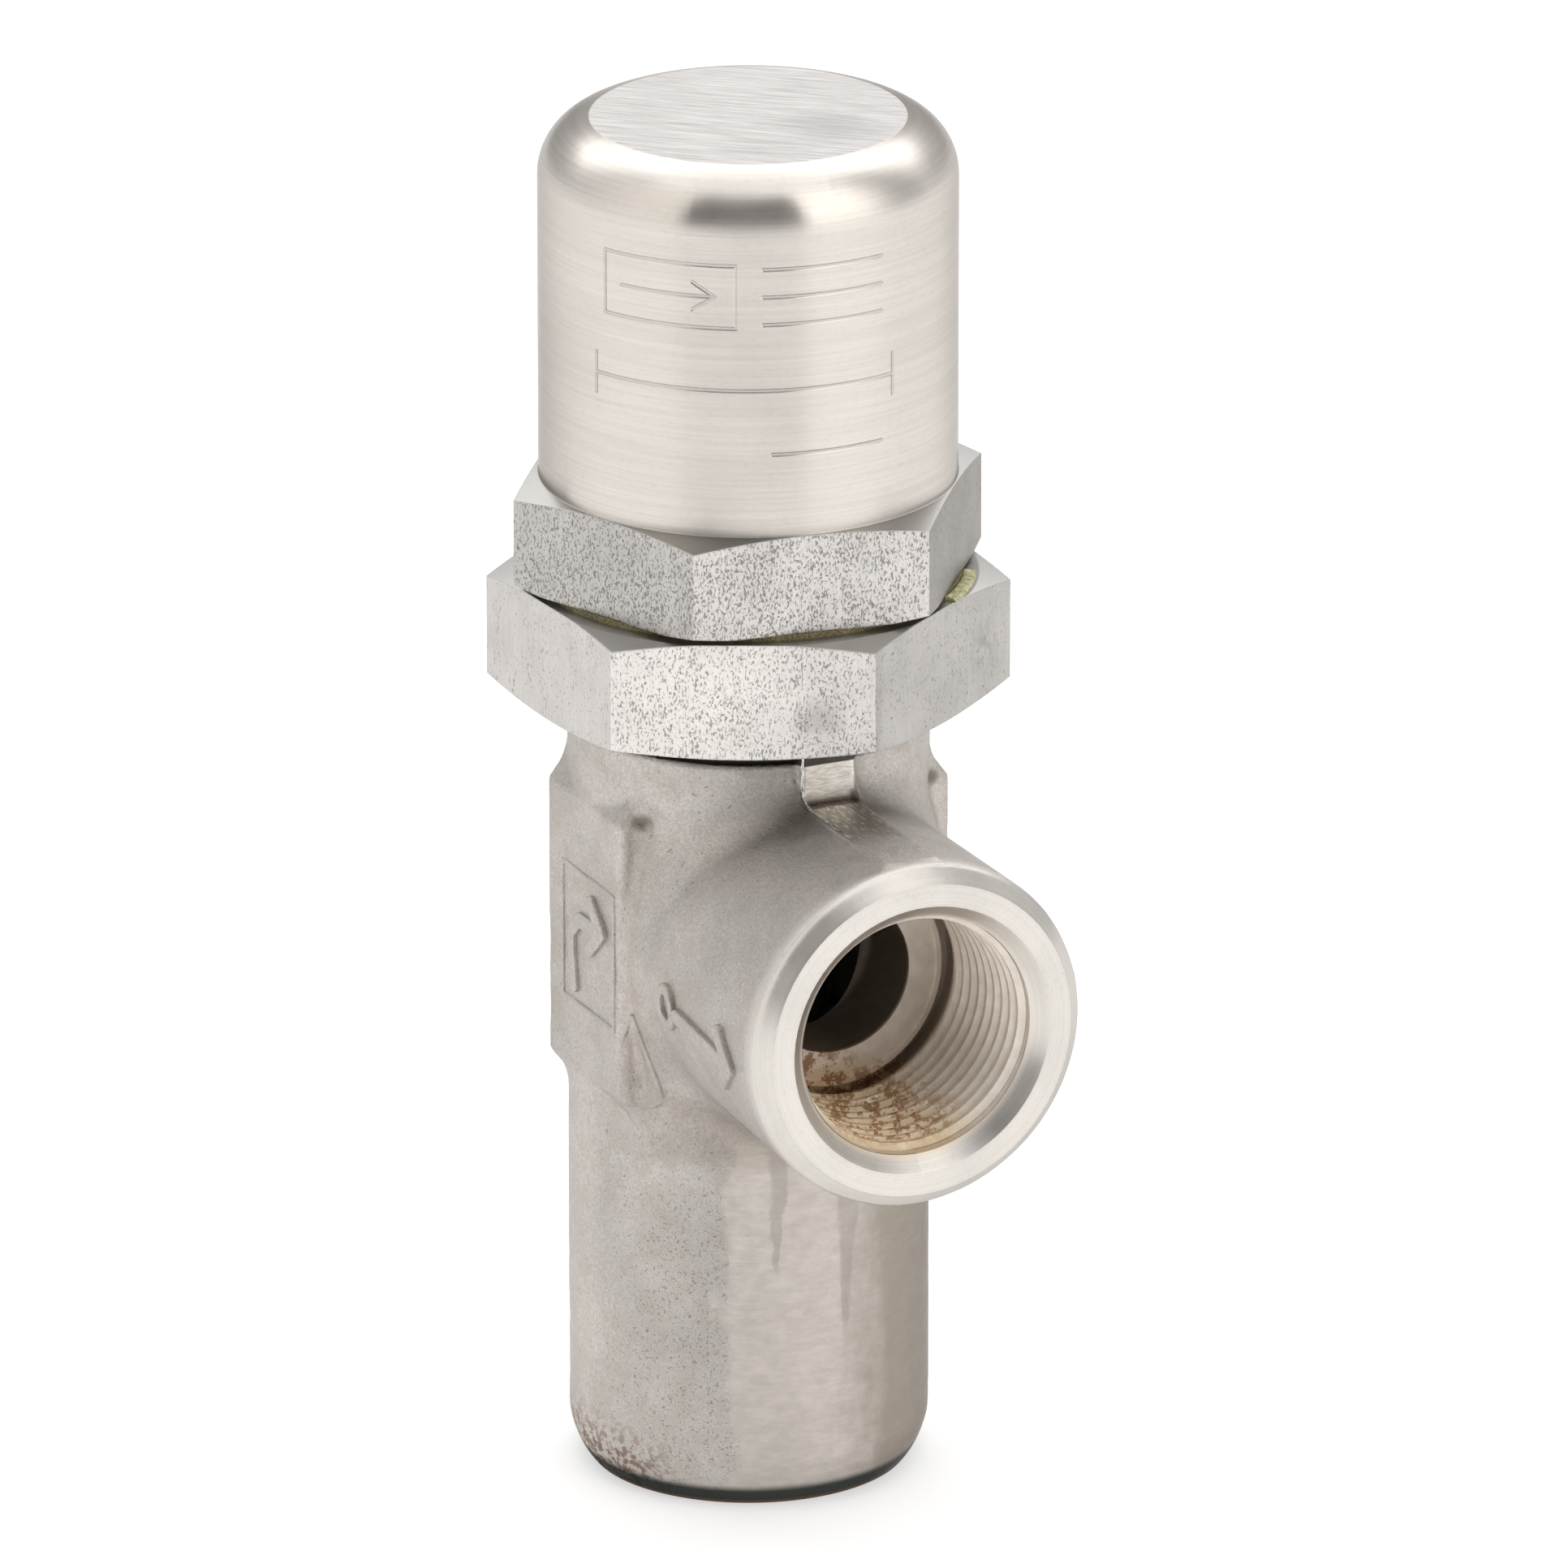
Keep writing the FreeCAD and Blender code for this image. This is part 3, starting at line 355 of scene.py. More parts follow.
def body_forging():
    """The forged outside of the body, cut flat where the machined faces begin."""
    rows, columns, half_columns = 190, 142, 46
    step = NECK_TOP / rows
    low = [PORT_FACE - step * columns, -step * half_columns, -step]
    counts = (columns + 2, 2 * half_columns + 1, rows + 3)
    places, quads = surface_net(forged_shape, low, counts, step)
    held = np.zeros(places.shape, bool)
    ends = ((2, 0.0, -1), (2, NECK_TOP, 1), (0, PORT_FACE, 1))
    dropped = np.zeros(len(quads), bool)
    for way, flat, side in ends:
        past = (places[:, way] - flat) * side > 0
        places[past, way] = flat
        held[past, way] = True
        dropped |= past[quads].all(axis=1)
    places = settle(forged_shape, places, held)
    near_end = np.min([np.abs(places[:, way] - flat) for way, flat, _side in ends], axis=0)
    fade = np.clip((near_end - EVEN_RIM) / RIM_FADE, 0, 1)
    uneven = 0.045 * ripple(places, 11, 40, 9.0) + 0.02 * ripple(places, 12, 50, 2.6)
    slope = gradient(forged_shape, [places[:, way] for way in range(3)])
    outward = (slope / np.maximum(np.linalg.norm(slope, axis=0), 0.3)).T
    places += outward * (np.minimum(uneven, 0.0) * fade)[:, None]
    return mesh_piece("body_forging", places, quads[~dropped], "valve_body")


def raised_mark(name, outline, height, x_low, x_high, z_low, z_high):
    """A mark standing up from the forging on the -Y side, sunk a little into it."""
    sunk, step, rounding = 0.3, 0.16, 0.18

    def shape(x, y, z):
        skin = forged_shape(x, y, z)
        return round_intersection(np.maximum(outline(x, z), -sunk - skin), skin - height, rounding)

    y_low, y_high = -PAD_FACE - 0.9, -PAD_FACE + 6.0
    counts = tuple(int((high - low) / step) + 1
                   for low, high in ((x_low, x_high), (y_low, y_high), (z_low, z_high)))
    places, quads = surface_net(shape, [x_low, y_low, z_low], counts, step)
    places = settle(shape, places, np.zeros(places.shape, bool))
    return mesh_piece(name, places, quads, "valve_body")


def body_machined():
    """The body's machined faces as the CAD has them: ports, bores, bottom, neck and outlet face."""
    mesh = nodes["body"].data.copy()
    work = bmesh.new()
    work.from_mesh(mesh)
    middles = np.array([face.calc_center_median() for face in work.faces]) / MM
    depth = forged_shape(*[middles[:, way].copy() for way in range(3)])
    flat_end = ((middles[:, 2] < 0.01) | (middles[:, 2] > NECK_TOP - 0.01)
                | (middles[:, 0] > PORT_FACE - 0.01))
    doomed = [face for face, gone in zip(work.faces, (depth > -0.6) & ~flat_end) if gone]
    bmesh.ops.delete(work, geom=doomed, context="FACES")
    work.to_mesh(mesh)
    work.free()
    piece = linked("body_machined", mesh)
    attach(piece, "valve_body")
    return piece


# thread: half widths in pitches, crest radius deep in the port and at its mouth
THREAD_PITCH = 25.4 / 14
HALF_FOOT, HALF_CREST = 0.49, 0.13
CREST_INNER, CREST_MOUTH = 12.15, 12.45
FOOT_GAP, FADE_TURNS = 0.06, 0.625


def thread(name, start, end, low_limit, high_limit, crest_start, crest_end, place):
    """Helical ridge standing inward from a port's bore. place() gives X, Y, Z of radius, angle, along."""
    per_turn = 144
    turns = (end - start) / THREAD_PITCH
    sections = int(turns * per_turn)
    half_foot, half_crest = THREAD_PITCH * HALF_FOOT, THREAD_PITCH * HALF_CREST
    foot = THREAD_ROOT - FOOT_GAP
    places = []
    for number in range(sections + 1):
        share = number / sections
        angle = share * turns * 2 * math.pi
        middle = start + (end - start) * share
        fade = min(1.0, share * turns / FADE_TURNS, (1 - share) * turns / FADE_TURNS)
        crest = foot + (crest_start + (crest_end - crest_start) * share - foot) * max(fade, 0.02)
        profile = ((-half_foot, foot), (-half_crest, crest), (half_crest, crest), (half_foot, foot))
        for shift, radius in profile:
            places.append(place(radius, angle, min(max(middle + shift, low_limit), high_limit)))
    faces = tube_faces(sections + 1, 4)
    faces += [(3, 2, 1, 0), tuple(sections * 4 + corner for corner in range(4))]
    piece = mesh_piece(name, places, faces, "valve_body")
    # the ridge's corner lines run from each vertex to the one four further on
    for edge in piece.data.edges:
        edge.use_edge_sharp = abs(edge.vertices[0] - edge.vertices[1]) == 4
    return piece


def along_outlet(radius, angle, along):
    return along, radius * math.cos(angle), PORT_HEIGHT + radius * math.sin(angle)


def along_axis(radius, angle, along):
    return radius * math.cos(angle), radius * math.sin(angle), along


def parting_burr():
    """Thin torn edge of the forging flash beside the ground strip, down the neck and along the boss."""
    route = np.array([(19.8, -2.95, 84.6), (19.95, -3.05, 82.0), (20.0, -2.9, 80.4), (21.2, -2.95, 79.6),
                      (24.0, -3.0, 79.5), (28.0, -2.8, 79.48), (33.0, -2.5, 79.4)])
    spans = np.concatenate([[0], np.cumsum(np.linalg.norm(np.diff(route, axis=0), axis=1))])
    stops = np.linspace(0, spans[-1], 90)
    line = np.stack([np.interp(stops, spans, route[:, way]) for way in range(3)], axis=1)
    line += 0.06 * np.stack([ripple(line, seed, 12, 1.6) for seed in (21, 22, 23)], axis=1)
    thick = (0.17 + 0.05 * ripple(line, 24, 12, 1.2)) * np.clip(1.25 - stops / spans[-1], 0.25, 1)
    around, places = 8, []
    for centre, radius in zip(line, thick):
        for number in range(around):
            turn = 2 * math.pi * number / around
            aside = math.sin(turn) * 0.7
            places.append(centre + radius * np.array([aside, math.cos(turn), aside]))
    return mesh_piece("parting_burr", places, tube_faces(len(line), around), "valve_body")


def spring_half(name, side):
    """Half of the set spring, cut off at its middle, the cut closed."""
    low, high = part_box("set_spring")
    middle = (low[2] + high[2]) / 2
    mesh = nodes["set_spring"].data.copy()
    work = bmesh.new()
    work.from_mesh(mesh)
    cut = bmesh.ops.bisect_plane(work, geom=[*work.verts, *work.edges, *work.faces],
                                 plane_co=(0, 0, middle), plane_no=(0, 0, side), clear_inner=True)
    rim = [item for item in cut["geom_cut"] if isinstance(item, bmesh.types.BMEdge)]
    bmesh.ops.holes_fill(work, edges=rim)
    work.to_mesh(mesh)
    work.free()
    piece = linked(name, mesh)
    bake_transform(piece)
    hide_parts("set_spring")
    return piece


forging = body_forging()
machined_faces = body_machined()
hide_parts("body")
outlet_mouth, inlet_mouth = outlet_place[0], inlet_place[2]
outlet_inner = outlet_mouth - outlet_sizes["length_mm"]
inlet_inner = inlet_mouth + inlet_sizes["length_mm"]
outlet_thread = thread("outlet_thread", outlet_inner + 0.6, outlet_mouth - 0.3, outlet_inner,
                       outlet_mouth, CREST_INNER, CREST_MOUTH, along_outlet)
inlet_thread = thread("inlet_thread", inlet_mouth + 0.9, inlet_inner - 0.3, inlet_mouth, inlet_inner,
                      CREST_MOUTH, CREST_INNER, along_axis)
burr = parting_burr()
marks = [raised_mark(name, *sizes) for name, sizes in MARKS.items()]
spring_halves = [spring_half("set_spring_lower", -1),
                 spring_half("set_spring_upper", 1)]


# ---- Node writing
class Nodes:
    """Short calls for a node tree. Every call gives back an output socket."""

    def __init__(self, tree):
        self.tree = tree
        tree.nodes.clear()

    def add(self, kind, **settings):
        node = self.tree.nodes.new(kind)
        for word, value in settings.items():
            setattr(node, word, value)
        return node

    def feed(self, socket, value):
        if isinstance(value, bpy.types.NodeSocket):
            self.tree.links.new(value, socket)
        elif value is not None:
            socket.default_value = value

    def math(self, operation, a, b=None, c=None, clamp=False):
        node = self.add("ShaderNodeMath", operation=operation, use_clamp=clamp)
        for socket, value in zip(node.inputs, (a, b, c)):
            self.feed(socket, value)
        return node.outputs[0]

    def times(self, a, b, clamp=False):
        return self.math("MULTIPLY", a, b, clamp=clamp)

    def plus(self, a, b):
        return self.math("ADD", a, b)

    def minus(self, a, b):
        return self.math("SUBTRACT", a, b)

    def times_plus(self, a, b, c):
        """a times b, plus c."""
        return self.math("MULTIPLY_ADD", a, b, c)

    def turned_from(self, angle, middle):
        """Degrees between an angle and a middle one, either way."""
        return self.math("ABSOLUTE", self.math("WRAP", self.minus(angle, middle), 180.0, -180.0))

    def vector(self, operation, a, b=None, scale=None):
        node = self.add("ShaderNodeVectorMath", operation=operation)
        self.feed(node.inputs[0], a)
        self.feed(node.inputs[1], b)
        if scale is not None:
            self.feed(node.inputs["Scale"], scale)
        return node.outputs["Value" if operation in ("DOT_PRODUCT", "LENGTH", "DISTANCE") else "Vector"]

    def split(self, vector):
        node = self.add("ShaderNodeSeparateXYZ")
        self.feed(node.inputs[0], vector)
        return node.outputs[0], node.outputs[1], node.outputs[2]

    def join(self, x, y, z):
        node = self.add("ShaderNodeCombineXYZ")
        for socket, value in zip(node.inputs, (x, y, z)):
            self.feed(socket, value)
        return node.outputs[0]

    def step(self, value, low, high, out_low=0.0, out_high=1.0):
        """Smooth step of a value from low to high."""
        node = self.add("ShaderNodeMapRange", interpolation_type="SMOOTHSTEP")
        for socket, number in zip(node.inputs, (value, low, high, out_low, out_high)):
            self.feed(socket, number)
        return node.outputs[0]

    def spread(self, noise, low=0.0, high=1.0):
        """A noise's usual range, 0.3 to 0.7, spread from low to high."""
        return self.step(noise, 0.3, 0.7, low, high)

    def noise(self, point, scale, detail=3.0, rough=0.55, distortion=0.0):
        node = self.add("ShaderNodeTexNoise")
        self.feed(node.inputs["Vector"], point)
        node.inputs["Scale"].default_value = scale
        node.inputs["Detail"].default_value = detail
        node.inputs["Roughness"].default_value = rough
        node.inputs["Distortion"].default_value = distortion
        return node.outputs[0]

    def blend(self, amount, first, second):
        """Colour mix."""
        node = self.add("ShaderNodeMix", data_type="RGBA")
        self.feed(node.inputs["Factor"], amount)
        for socket, value in ((node.inputs[6], first), (node.inputs[7], second)):
            self.feed(socket, (*value, 1.0) if isinstance(value, tuple) else value)
        return node.outputs[2]

    def between(self, amount, first, second):
        """Number from first to second."""
        node = self.add("ShaderNodeMix", data_type="FLOAT")
        self.feed(node.inputs["Factor"], amount)
        self.feed(node.inputs[2], first)
        self.feed(node.inputs[3], second)
        return node.outputs[0]

    def shade(self, colour, amount):
        """Colour times a number."""
        return self.vector("SCALE", colour, scale=amount)

    def both(self, *masks):
        result = masks[0]
        for mask in masks[1:]:
            result = self.math("MULTIPLY", result, mask)
        return result

    def either(self, *masks):
        result = masks[0]
        for mask in masks[1:]:
            result = self.math("MAXIMUM", result, mask)
        return result

    def near(self, point, place, far, close):
        """1 where a point is closer to a place than close, 0 further than far."""
        return self.step(self.vector("DISTANCE", point, place), far, close)

    def window(self, value, low, high, soft):
        """1 between low and high, with soft sides."""
        return self.both(self.step(value, low - soft, low + soft),
                         self.step(value, high - soft, high + soft, 1.0, 0.0))


# ---- Studio: pale floor, soft boxes in the world around and above
def make_studio():
    world = bpy.data.worlds.new("studio")
    bpy.context.scene.world = world
    world.use_nodes = True
    n = Nodes(world.node_tree)
    ray = n.add("ShaderNodeTexCoord").outputs["Generated"]
    _x, _y, up = n.split(ray)
    side = n.vector("DOT_PRODUCT", ray, tuple(camera_right))
    front = n.vector("DOT_PRODUCT", ray, tuple(towards_camera))
    around = n.times(n.math("ARCTAN2", side, front), math.degrees(1))
    height = n.times(n.math("ARCSINE", up), math.degrees(1))

    level = n.step(height, -10.0, 40.0, 0.72, 0.82)
    behind = n.step(n.math("ABSOLUTE", around), 110.0, 135.0)
    right_box = n.both(n.step(around, 30.5, 34.5), n.step(around, 92.0, 62.0),
                       n.window(height, 0.0, 58.0, 8.0))
    left_box = n.both(n.step(around, -112.0, -62.0), n.step(around, -36.0, -41.0),
                      n.window(height, 0.0, 62.0, 8.0))
    for mask, change in (
            (right_box, 1.05),
            (left_box, 0.36),
            (n.both(n.window(around, -36.0, 31.0, 2.5), n.window(height, 2.0, 57.0, 6.0)), -0.66),
            (n.both(n.window(around, 90.0, 112.0, 6.0), n.window(height, 0.0, 62.0, 8.0)), -0.25),
            (n.step(height, 57.0, 66.0), 0.62),
            (n.both(behind, n.window(height, 28.0, 62.0, 5.0)), 1.45),
            (n.both(behind, n.window(height, -5.0, 20.0, 5.0)), -0.15)):
        level = n.times_plus(mask, change, level)
    background = n.add("ShaderNodeBackground")
    warmth = n.blend(n.either(right_box, left_box), (1.0, 1.0, 1.0), (1.0, 0.975, 0.935))
    n.feed(background.inputs["Color"], warmth)
    n.feed(background.inputs["Strength"], level)
    out = n.add("ShaderNodeOutputWorld")
    n.feed(out.inputs[0], background.outputs[0])


def make_floor():
    mesh = bpy.data.meshes.new("floor")
    reach = 6.0
    mesh.from_pydata([(-reach, -reach, 0), (reach, -reach, 0), (reach, reach, 0), (-reach, reach, 0)],
                     [], [(0, 1, 2, 3)])
    floor = linked("floor", mesh)
    material = bpy.data.materials.new("floor")
    material.use_nodes = True
    n = Nodes(material.node_tree)
    shader = n.add("ShaderNodeBsdfPrincipled")
    shader.inputs["Base Color"].default_value = (0.62, 0.62, 0.62, 1.0)
    shader.inputs["Roughness"].default_value = 0.9
    shader.inputs["Specular IOR Level"].default_value = 0.1
    shader.inputs["Emission Color"].default_value = (1.0, 1.0, 1.0, 1.0)
    shader.inputs["Emission Strength"].default_value = 0.48
    out = n.add("ShaderNodeOutputMaterial")
    n.feed(out.inputs[0], shader.outputs[0])
    mesh.materials.append(material)


make_studio()
make_floor()


# ---- Materials. Points and bump heights are in millimetres
class Finish:
    """Colour, roughness and height of one kind of surface."""

    def __init__(self, n, colour, rough, height):
        self.n, self.colour, self.rough, self.height = n, colour, rough, height

    def under(self, mask, other):
        """This finish with another laid over it where the mask is 1."""
        n = self.n
        rough = n.between(mask, self.rough, other.rough)
        height = n.between(mask, self.height, other.height)
        return Finish(n, n.blend(mask, self.colour, other.colour), rough, height)

    def stained(self, mask, colour, rougher=0.0, share=1.0):
        """This finish tinted by a share towards a colour where the mask is 1."""
        n = self.n
        if share < 1.0:
            mask = n.times(mask, share)
        rough = n.times_plus(mask, rougher, self.rough)
        return Finish(n, n.blend(mask, self.colour, colour), rough, self.height)


def new_material(name):
    material = bpy.data.materials.new(name)
    material.use_nodes = True
    n = Nodes(material.node_tree)
    n.point = n.vector("SCALE", n.add("ShaderNodeTexCoord").outputs["Object"], scale=1000.0)
    n.x, n.y, n.z = n.split(n.point)
    n.angle = n.times(n.math("ARCTAN2", n.y, n.x), math.degrees(1))
    n.radius = n.math("SQRT", n.plus(n.times(n.x, n.x), n.times(n.y, n.y)))
    return material, n


def stretched(n, x, y, z):
    """The point, stretched per axis."""
    return n.vector("MULTIPLY", n.point, (x, y, z))


def metal(n, finish, anisotropic=0.0, tangent=None, edge=0.0, wear=0.0, edge_zone=1.0, rim=0.6,
          metallic=1.0):
    """Principled metal with a bump, soft and brighter worn edges, and darker rims at grazing angles."""
    shader = n.add("ShaderNodeBsdfPrincipled")
    n.feed(shader.inputs["Metallic"], metallic)
    shader.inputs["Specular Tint"].default_value = (rim, rim * 0.985, rim * 0.97, 1.0)
    shader.inputs["Anisotropic"].default_value = anisotropic
    if tangent is not None:
        n.feed(shader.inputs["Tangent"], tangent)
    bump = n.add("ShaderNodeBump")
    bump.inputs["Strength"].default_value = 1.0
    bump.inputs["Distance"].default_value = MM
    n.feed(bump.inputs["Height"], finish.height)
    colour = finish.colour
    if edge:
        soft = n.add("ShaderNodeBevel", samples=4)
        soft.inputs["Radius"].default_value = edge * MM
        shape = n.add("ShaderNodeNewGeometry")
        n.feed(bump.inputs["Normal"], n.blend(edge_zone, shape.outputs["Normal"], soft.outputs[0]))
        turned = n.vector("DOT_PRODUCT", soft.outputs[0], shape.outputs["True Normal"])
        worn = n.times(n.step(turned, 0.992, 0.95), edge_zone)
        colour = n.shade(colour, n.times_plus(worn, wear, 1.0))
    n.feed(shader.inputs["Base Color"], colour)
    n.feed(shader.inputs["Roughness"], finish.rough)
    n.feed(shader.inputs["Normal"], bump.outputs[0])
    out = n.add("ShaderNodeOutputMaterial")
    n.feed(out.inputs[0], shader.outputs[0])


def painted_face_shading(n, middle, painted_faces):
    """Painted light and shade on a hexagon: brightness of its six faces, counted anticlockwise from the
    one at the middle angle.
    """
    level = 0.0
    for number, tone in enumerate(painted_faces):
        away = n.turned_from(n.angle, middle + 60.0 * number)
        level = n.times_plus(n.step(away, 30.2, 29.8), tone, level)
    return level


def hexagon_finish(n, pitted, tone, density):
    """As-drawn bar: dense small pits and up-and-down streaks on the flats, smooth turned chamfers."""
    streak = n.noise(stretched(n, 3.0, 3.0, 0.10), 1.0, 3.0, 0.6)
    fine_streak = n.noise(stretched(n, 9.0, 9.0, 0.35), 1.0, 2.0, 0.6)
    grain = n.noise(n.point, 6.0, 2.0, 0.6)
    cloud = n.noise(n.point, 0.13, 3.0)
    patch = n.noise(stretched(n, 0.45, 0.45, 0.18), 1.0, 2.0)
    pit_field = n.noise(stretched(n, 4.3, 4.3, 2.4), 1.0, 2.5, 0.6, 0.4)
    limit = n.step(patch, 0.35, 0.65, 0.625 - density, 0.585 - density)
    limit = n.times_plus(n.minus(1.0, pitted), 0.10, limit)
    pits = n.times(n.minus(pit_field, limit), 13.0, clamp=True)
    slit_field = n.noise(stretched(n, 4.5, 4.5, 0.55), 1.0, 1.0)
    slits = n.both(n.times(n.minus(slit_field, 0.70), 16.0, clamp=True), pitted)
    pits = n.either(pits, slits)
    colour = n.blend(n.spread(streak), (0.640, 0.612, 0.584), (0.680, 0.655, 0.628))
    colour = n.shade(colour, n.spread(cloud, 0.92, 1.04))
    colour = n.shade(colour, n.spread(fine_streak, 0.97, 1.03))
    # painted light and shade: each flat made brighter or darker by its face's tone
    colour = n.shade(colour, tone)
    colour = n.blend(n.times(pits, 0.62), colour, (0.19, 0.182, 0.17))
    rough = n.times_plus(pits, 0.2, n.spread(grain, 0.34, 0.44))
    height = n.times(grain, 0.010)
    height = n.times_plus(streak, 0.008, height)
    height = n.times_plus(pits, -0.030, height)
    flats = Finish(n, colour, rough, height)
    rings = n.noise(n.join(n.times(n.radius, 7.0), 0.0, 0.0), 1.0, 3.0, 0.6)
    turned = Finish(n, n.blend(n.spread(rings), (0.50, 0.495, 0.48), (0.58, 0.575, 0.56)), 0.36,
                    n.times(rings, 0.006))
    _nx, _ny, facing_up = n.split(n.add("ShaderNodeNewGeometry").outputs["True Normal"])
    return flats.under(n.step(n.math("ABSOLUTE", facing_up), 0.4, 0.6), turned)


def stroke(n, across, up, start, end, width):
    """Mask of a round-ended stroke in two flat coordinates."""
    reach = (end[0] - start[0], end[1] - start[1], 0.0)
    length = reach[0] ** 2 + reach[1] ** 2
    offset = n.vector("SUBTRACT", n.join(across, up, 0.0), (*start, 0.0))
    share = n.math("DIVIDE", n.vector("DOT_PRODUCT", offset, reach), length, clamp=True)
    away = n.vector("LENGTH", n.vector("SUBTRACT", offset, n.vector("SCALE", reach, scale=share)))
    return n.step(away, width * 1.5, width * 0.5)


def cap_marks(n):
    """Plain engraved marks: an empty data frame with a flow arrow, and blank rules."""
    arc = n.times(n.plus(n.angle, 25.0), math.radians(22.0))
    left, right, low, high = -16.2, -1.2, 132.8, 139.6
    middle = (low + high) / 2
    lines = [((left, low), (right, low)), ((right, low), (right, high)), ((right, high), (left, high)),
             ((left, high), (left, low)),
             ((left + 2.2, middle), (right - 2.2, middle)),
             ((right - 2.2, middle), (right - 4.6, middle + 1.5)),
             ((right - 2.2, middle), (right - 4.6, middle - 1.5))]
    lines += [((1.6, height), (15.0, height)) for height in (139.2, 136.2, 133.2)]
    lines += [((-17.5, 126.0), (16.5, 126.0)), ((2.5, 119.0), (15.0, 119.0))]
    lines += [((end, 128.2), (end, 123.8)) for end in (-17.5, 16.5)]
    return n.either(*[stroke(n, arc, n.z, start, end, 0.17) for start, end in lines])


def cap_steel():
    material, n = new_material("cap_turned_steel")
    # side: fine lines round the cap, with a few stronger tool marks
    lines = n.noise(stretched(n, 0.05, 0.05, 3.4), 1.0, 1.0, 0.5)
    tool = n.noise(stretched(n, 0.02, 0.02, 1.6), 1.0, 1.0, 0.5)
    speck = n.noise(stretched(n, 1.2, 1.2, 2.6), 1.0, 1.0, 0.5)
    cloud = n.noise(stretched(n, 0.06, 0.06, 0.10), 1.0, 3.0)
    colour = n.blend(n.step(lines, 0.3, 0.72), (0.634, 0.592, 0.548), (0.678, 0.638, 0.596))
    colour = n.shade(colour, n.spread(tool, 0.98, 1.01))
    colour = n.shade(colour, n.step(speck, 0.25, 0.5, 0.96, 1.0))
    # painted shade: the cap's side darker on its left, more so low down
    cap_left_shade = n.both(n.step(n.angle, -62.0, -98.0), n.step(n.angle, -165.0, -125.0),
                  n.step(n.z, 138.0, 120.0, 0.3, 1.0))
    colour = n.shade(colour, n.times_plus(cap_left_shade, -0.16, 1.0))
    height = n.times(lines, 0.0014)
    marks = cap_marks(n)
    height = n.times_plus(marks, -0.09, height)
    colour = n.shade(colour, n.times_plus(marks, -0.14, 1.0))
    side = Finish(n, colour, n.spread(cloud, 0.25, 0.31), height)
    # a dark line in the corner just above the hexagon
    side = side.stained(n.step(n.z, CAP_SHOULDER + 1.3, CAP_SHOULDER), (0.22, 0.20, 0.17), share=0.35)

    # top: brushed straight across
    brush = n.add("ShaderNodeMapping")
    n.feed(brush.inputs["Vector"], n.point)
    brush.inputs["Rotation"].default_value = (0, 0, CAP_BRUSHING)
    fine = n.noise(n.vector("MULTIPLY", brush.outputs[0], (0.12, 2.8, 1.0)), 1.0, 5.0, 0.75)
    scratch = n.noise(n.vector("MULTIPLY", brush.outputs[0], (0.30, 3.2, 1.0)), 1.0, 2.0)
    top_colour = n.blend(n.spread(fine), (0.44, 0.427, 0.416), (0.71, 0.692, 0.676))
    worn_patch = n.near(n.point, (7.4, 6.5, CAP_TOP), 7.0, 1.0)
    top_colour = n.shade(top_colour, n.times_plus(worn_patch, -0.17, 1.0))
    top_height = n.times_plus(n.step(scratch, 0.62, 0.7), -0.008, n.times(fine, 0.012))
    top = n.step(n.z, CAP_TOP - 0.04, CAP_TOP - 0.01)
    finish = side.under(top, Finish(n, top_colour, 0.40, top_height))

    # hexagon
    hexagon = n.both(n.step(n.z, CAP_SHOULDER + 0.4, CAP_SHOULDER + 0.2),
                     n.step(n.radius, CAP_RADIUS + 0.03, CAP_RADIUS + 0.1))
    away = n.turned_from(n.angle, -37.7)
    # painted light and shade on the cap's hexagon, face by face
    painted_faces = painted_face_shading(n, -7.7, (0.99, 0.60, 0.85, 0.9, 0.85, 0.79))
    pitted = n.step(away, 64.0, 56.0, 0.35, 1.0)
    finish = finish.under(hexagon, hexagon_finish(n, pitted, painted_faces, 0.072))
    across = n.join(math.sin(CAP_BRUSHING), math.cos(CAP_BRUSHING), 0.0)
    lying = n.join(n.times(n.y, -1.0), n.x, 0.0)
    tangent = n.blend(top, n.blend(hexagon, n.join(0.0, 0.0, 1.0), lying), across)
    above = n.step(n.z, CAP_SHOULDER + 0.6, CAP_SHOULDER + 0.4)
    metal(n, finish, 0.85, tangent, edge=0.25, wear=0.12, edge_zone=above, rim=0.6)
    return material


def bonnet_steel():
    material, n = new_material("bonnet_bar_steel")
    away = n.turned_from(n.angle, -26.2)
    # painted light and shade on the bonnet's hexagon: face by face, then darker and lighter bands across
    # the front by angle
    painted_faces = painted_face_shading(n, -26.2, (1.16, 0.75, 0.9, 0.95, 0.9, 0.91))
    painted_faces = n.both(painted_faces, n.step(n.angle, -24.0, -2.0, 1.0, 0.90), n.step(n.angle, 4.0, 8.0, 1.0, 1.11))
    finish = hexagon_finish(n, n.step(away, 34.0, 26.0, 0.3, 0.86), painted_faces, 0.060)
    smudge = n.both(n.near(n.point, (17.0, 21.5, 92.0), 4.5, 1.0),
                    n.step(n.noise(n.point, 0.9, 4.0, 0.6), 0.4, 0.6))
    finish = finish.stained(smudge, (0.22, 0.22, 0.215), 0.1, share=0.5)
    rubbed = n.both(n.near(n.point, (24.7, -3.3, 90.4), 3.6, 0.8), n.step(n.z, 88.6, 90.0, 0.3, 1.0))
    finish = finish.stained(rubbed, (0.28, 0.27, 0.265), 0.1, share=0.35)
    metal(n, finish, 0.3, n.join(n.times(n.y, -1.0), n.x, 0.0), edge=0.25, wear=0.16, rim=0.7)
    return material


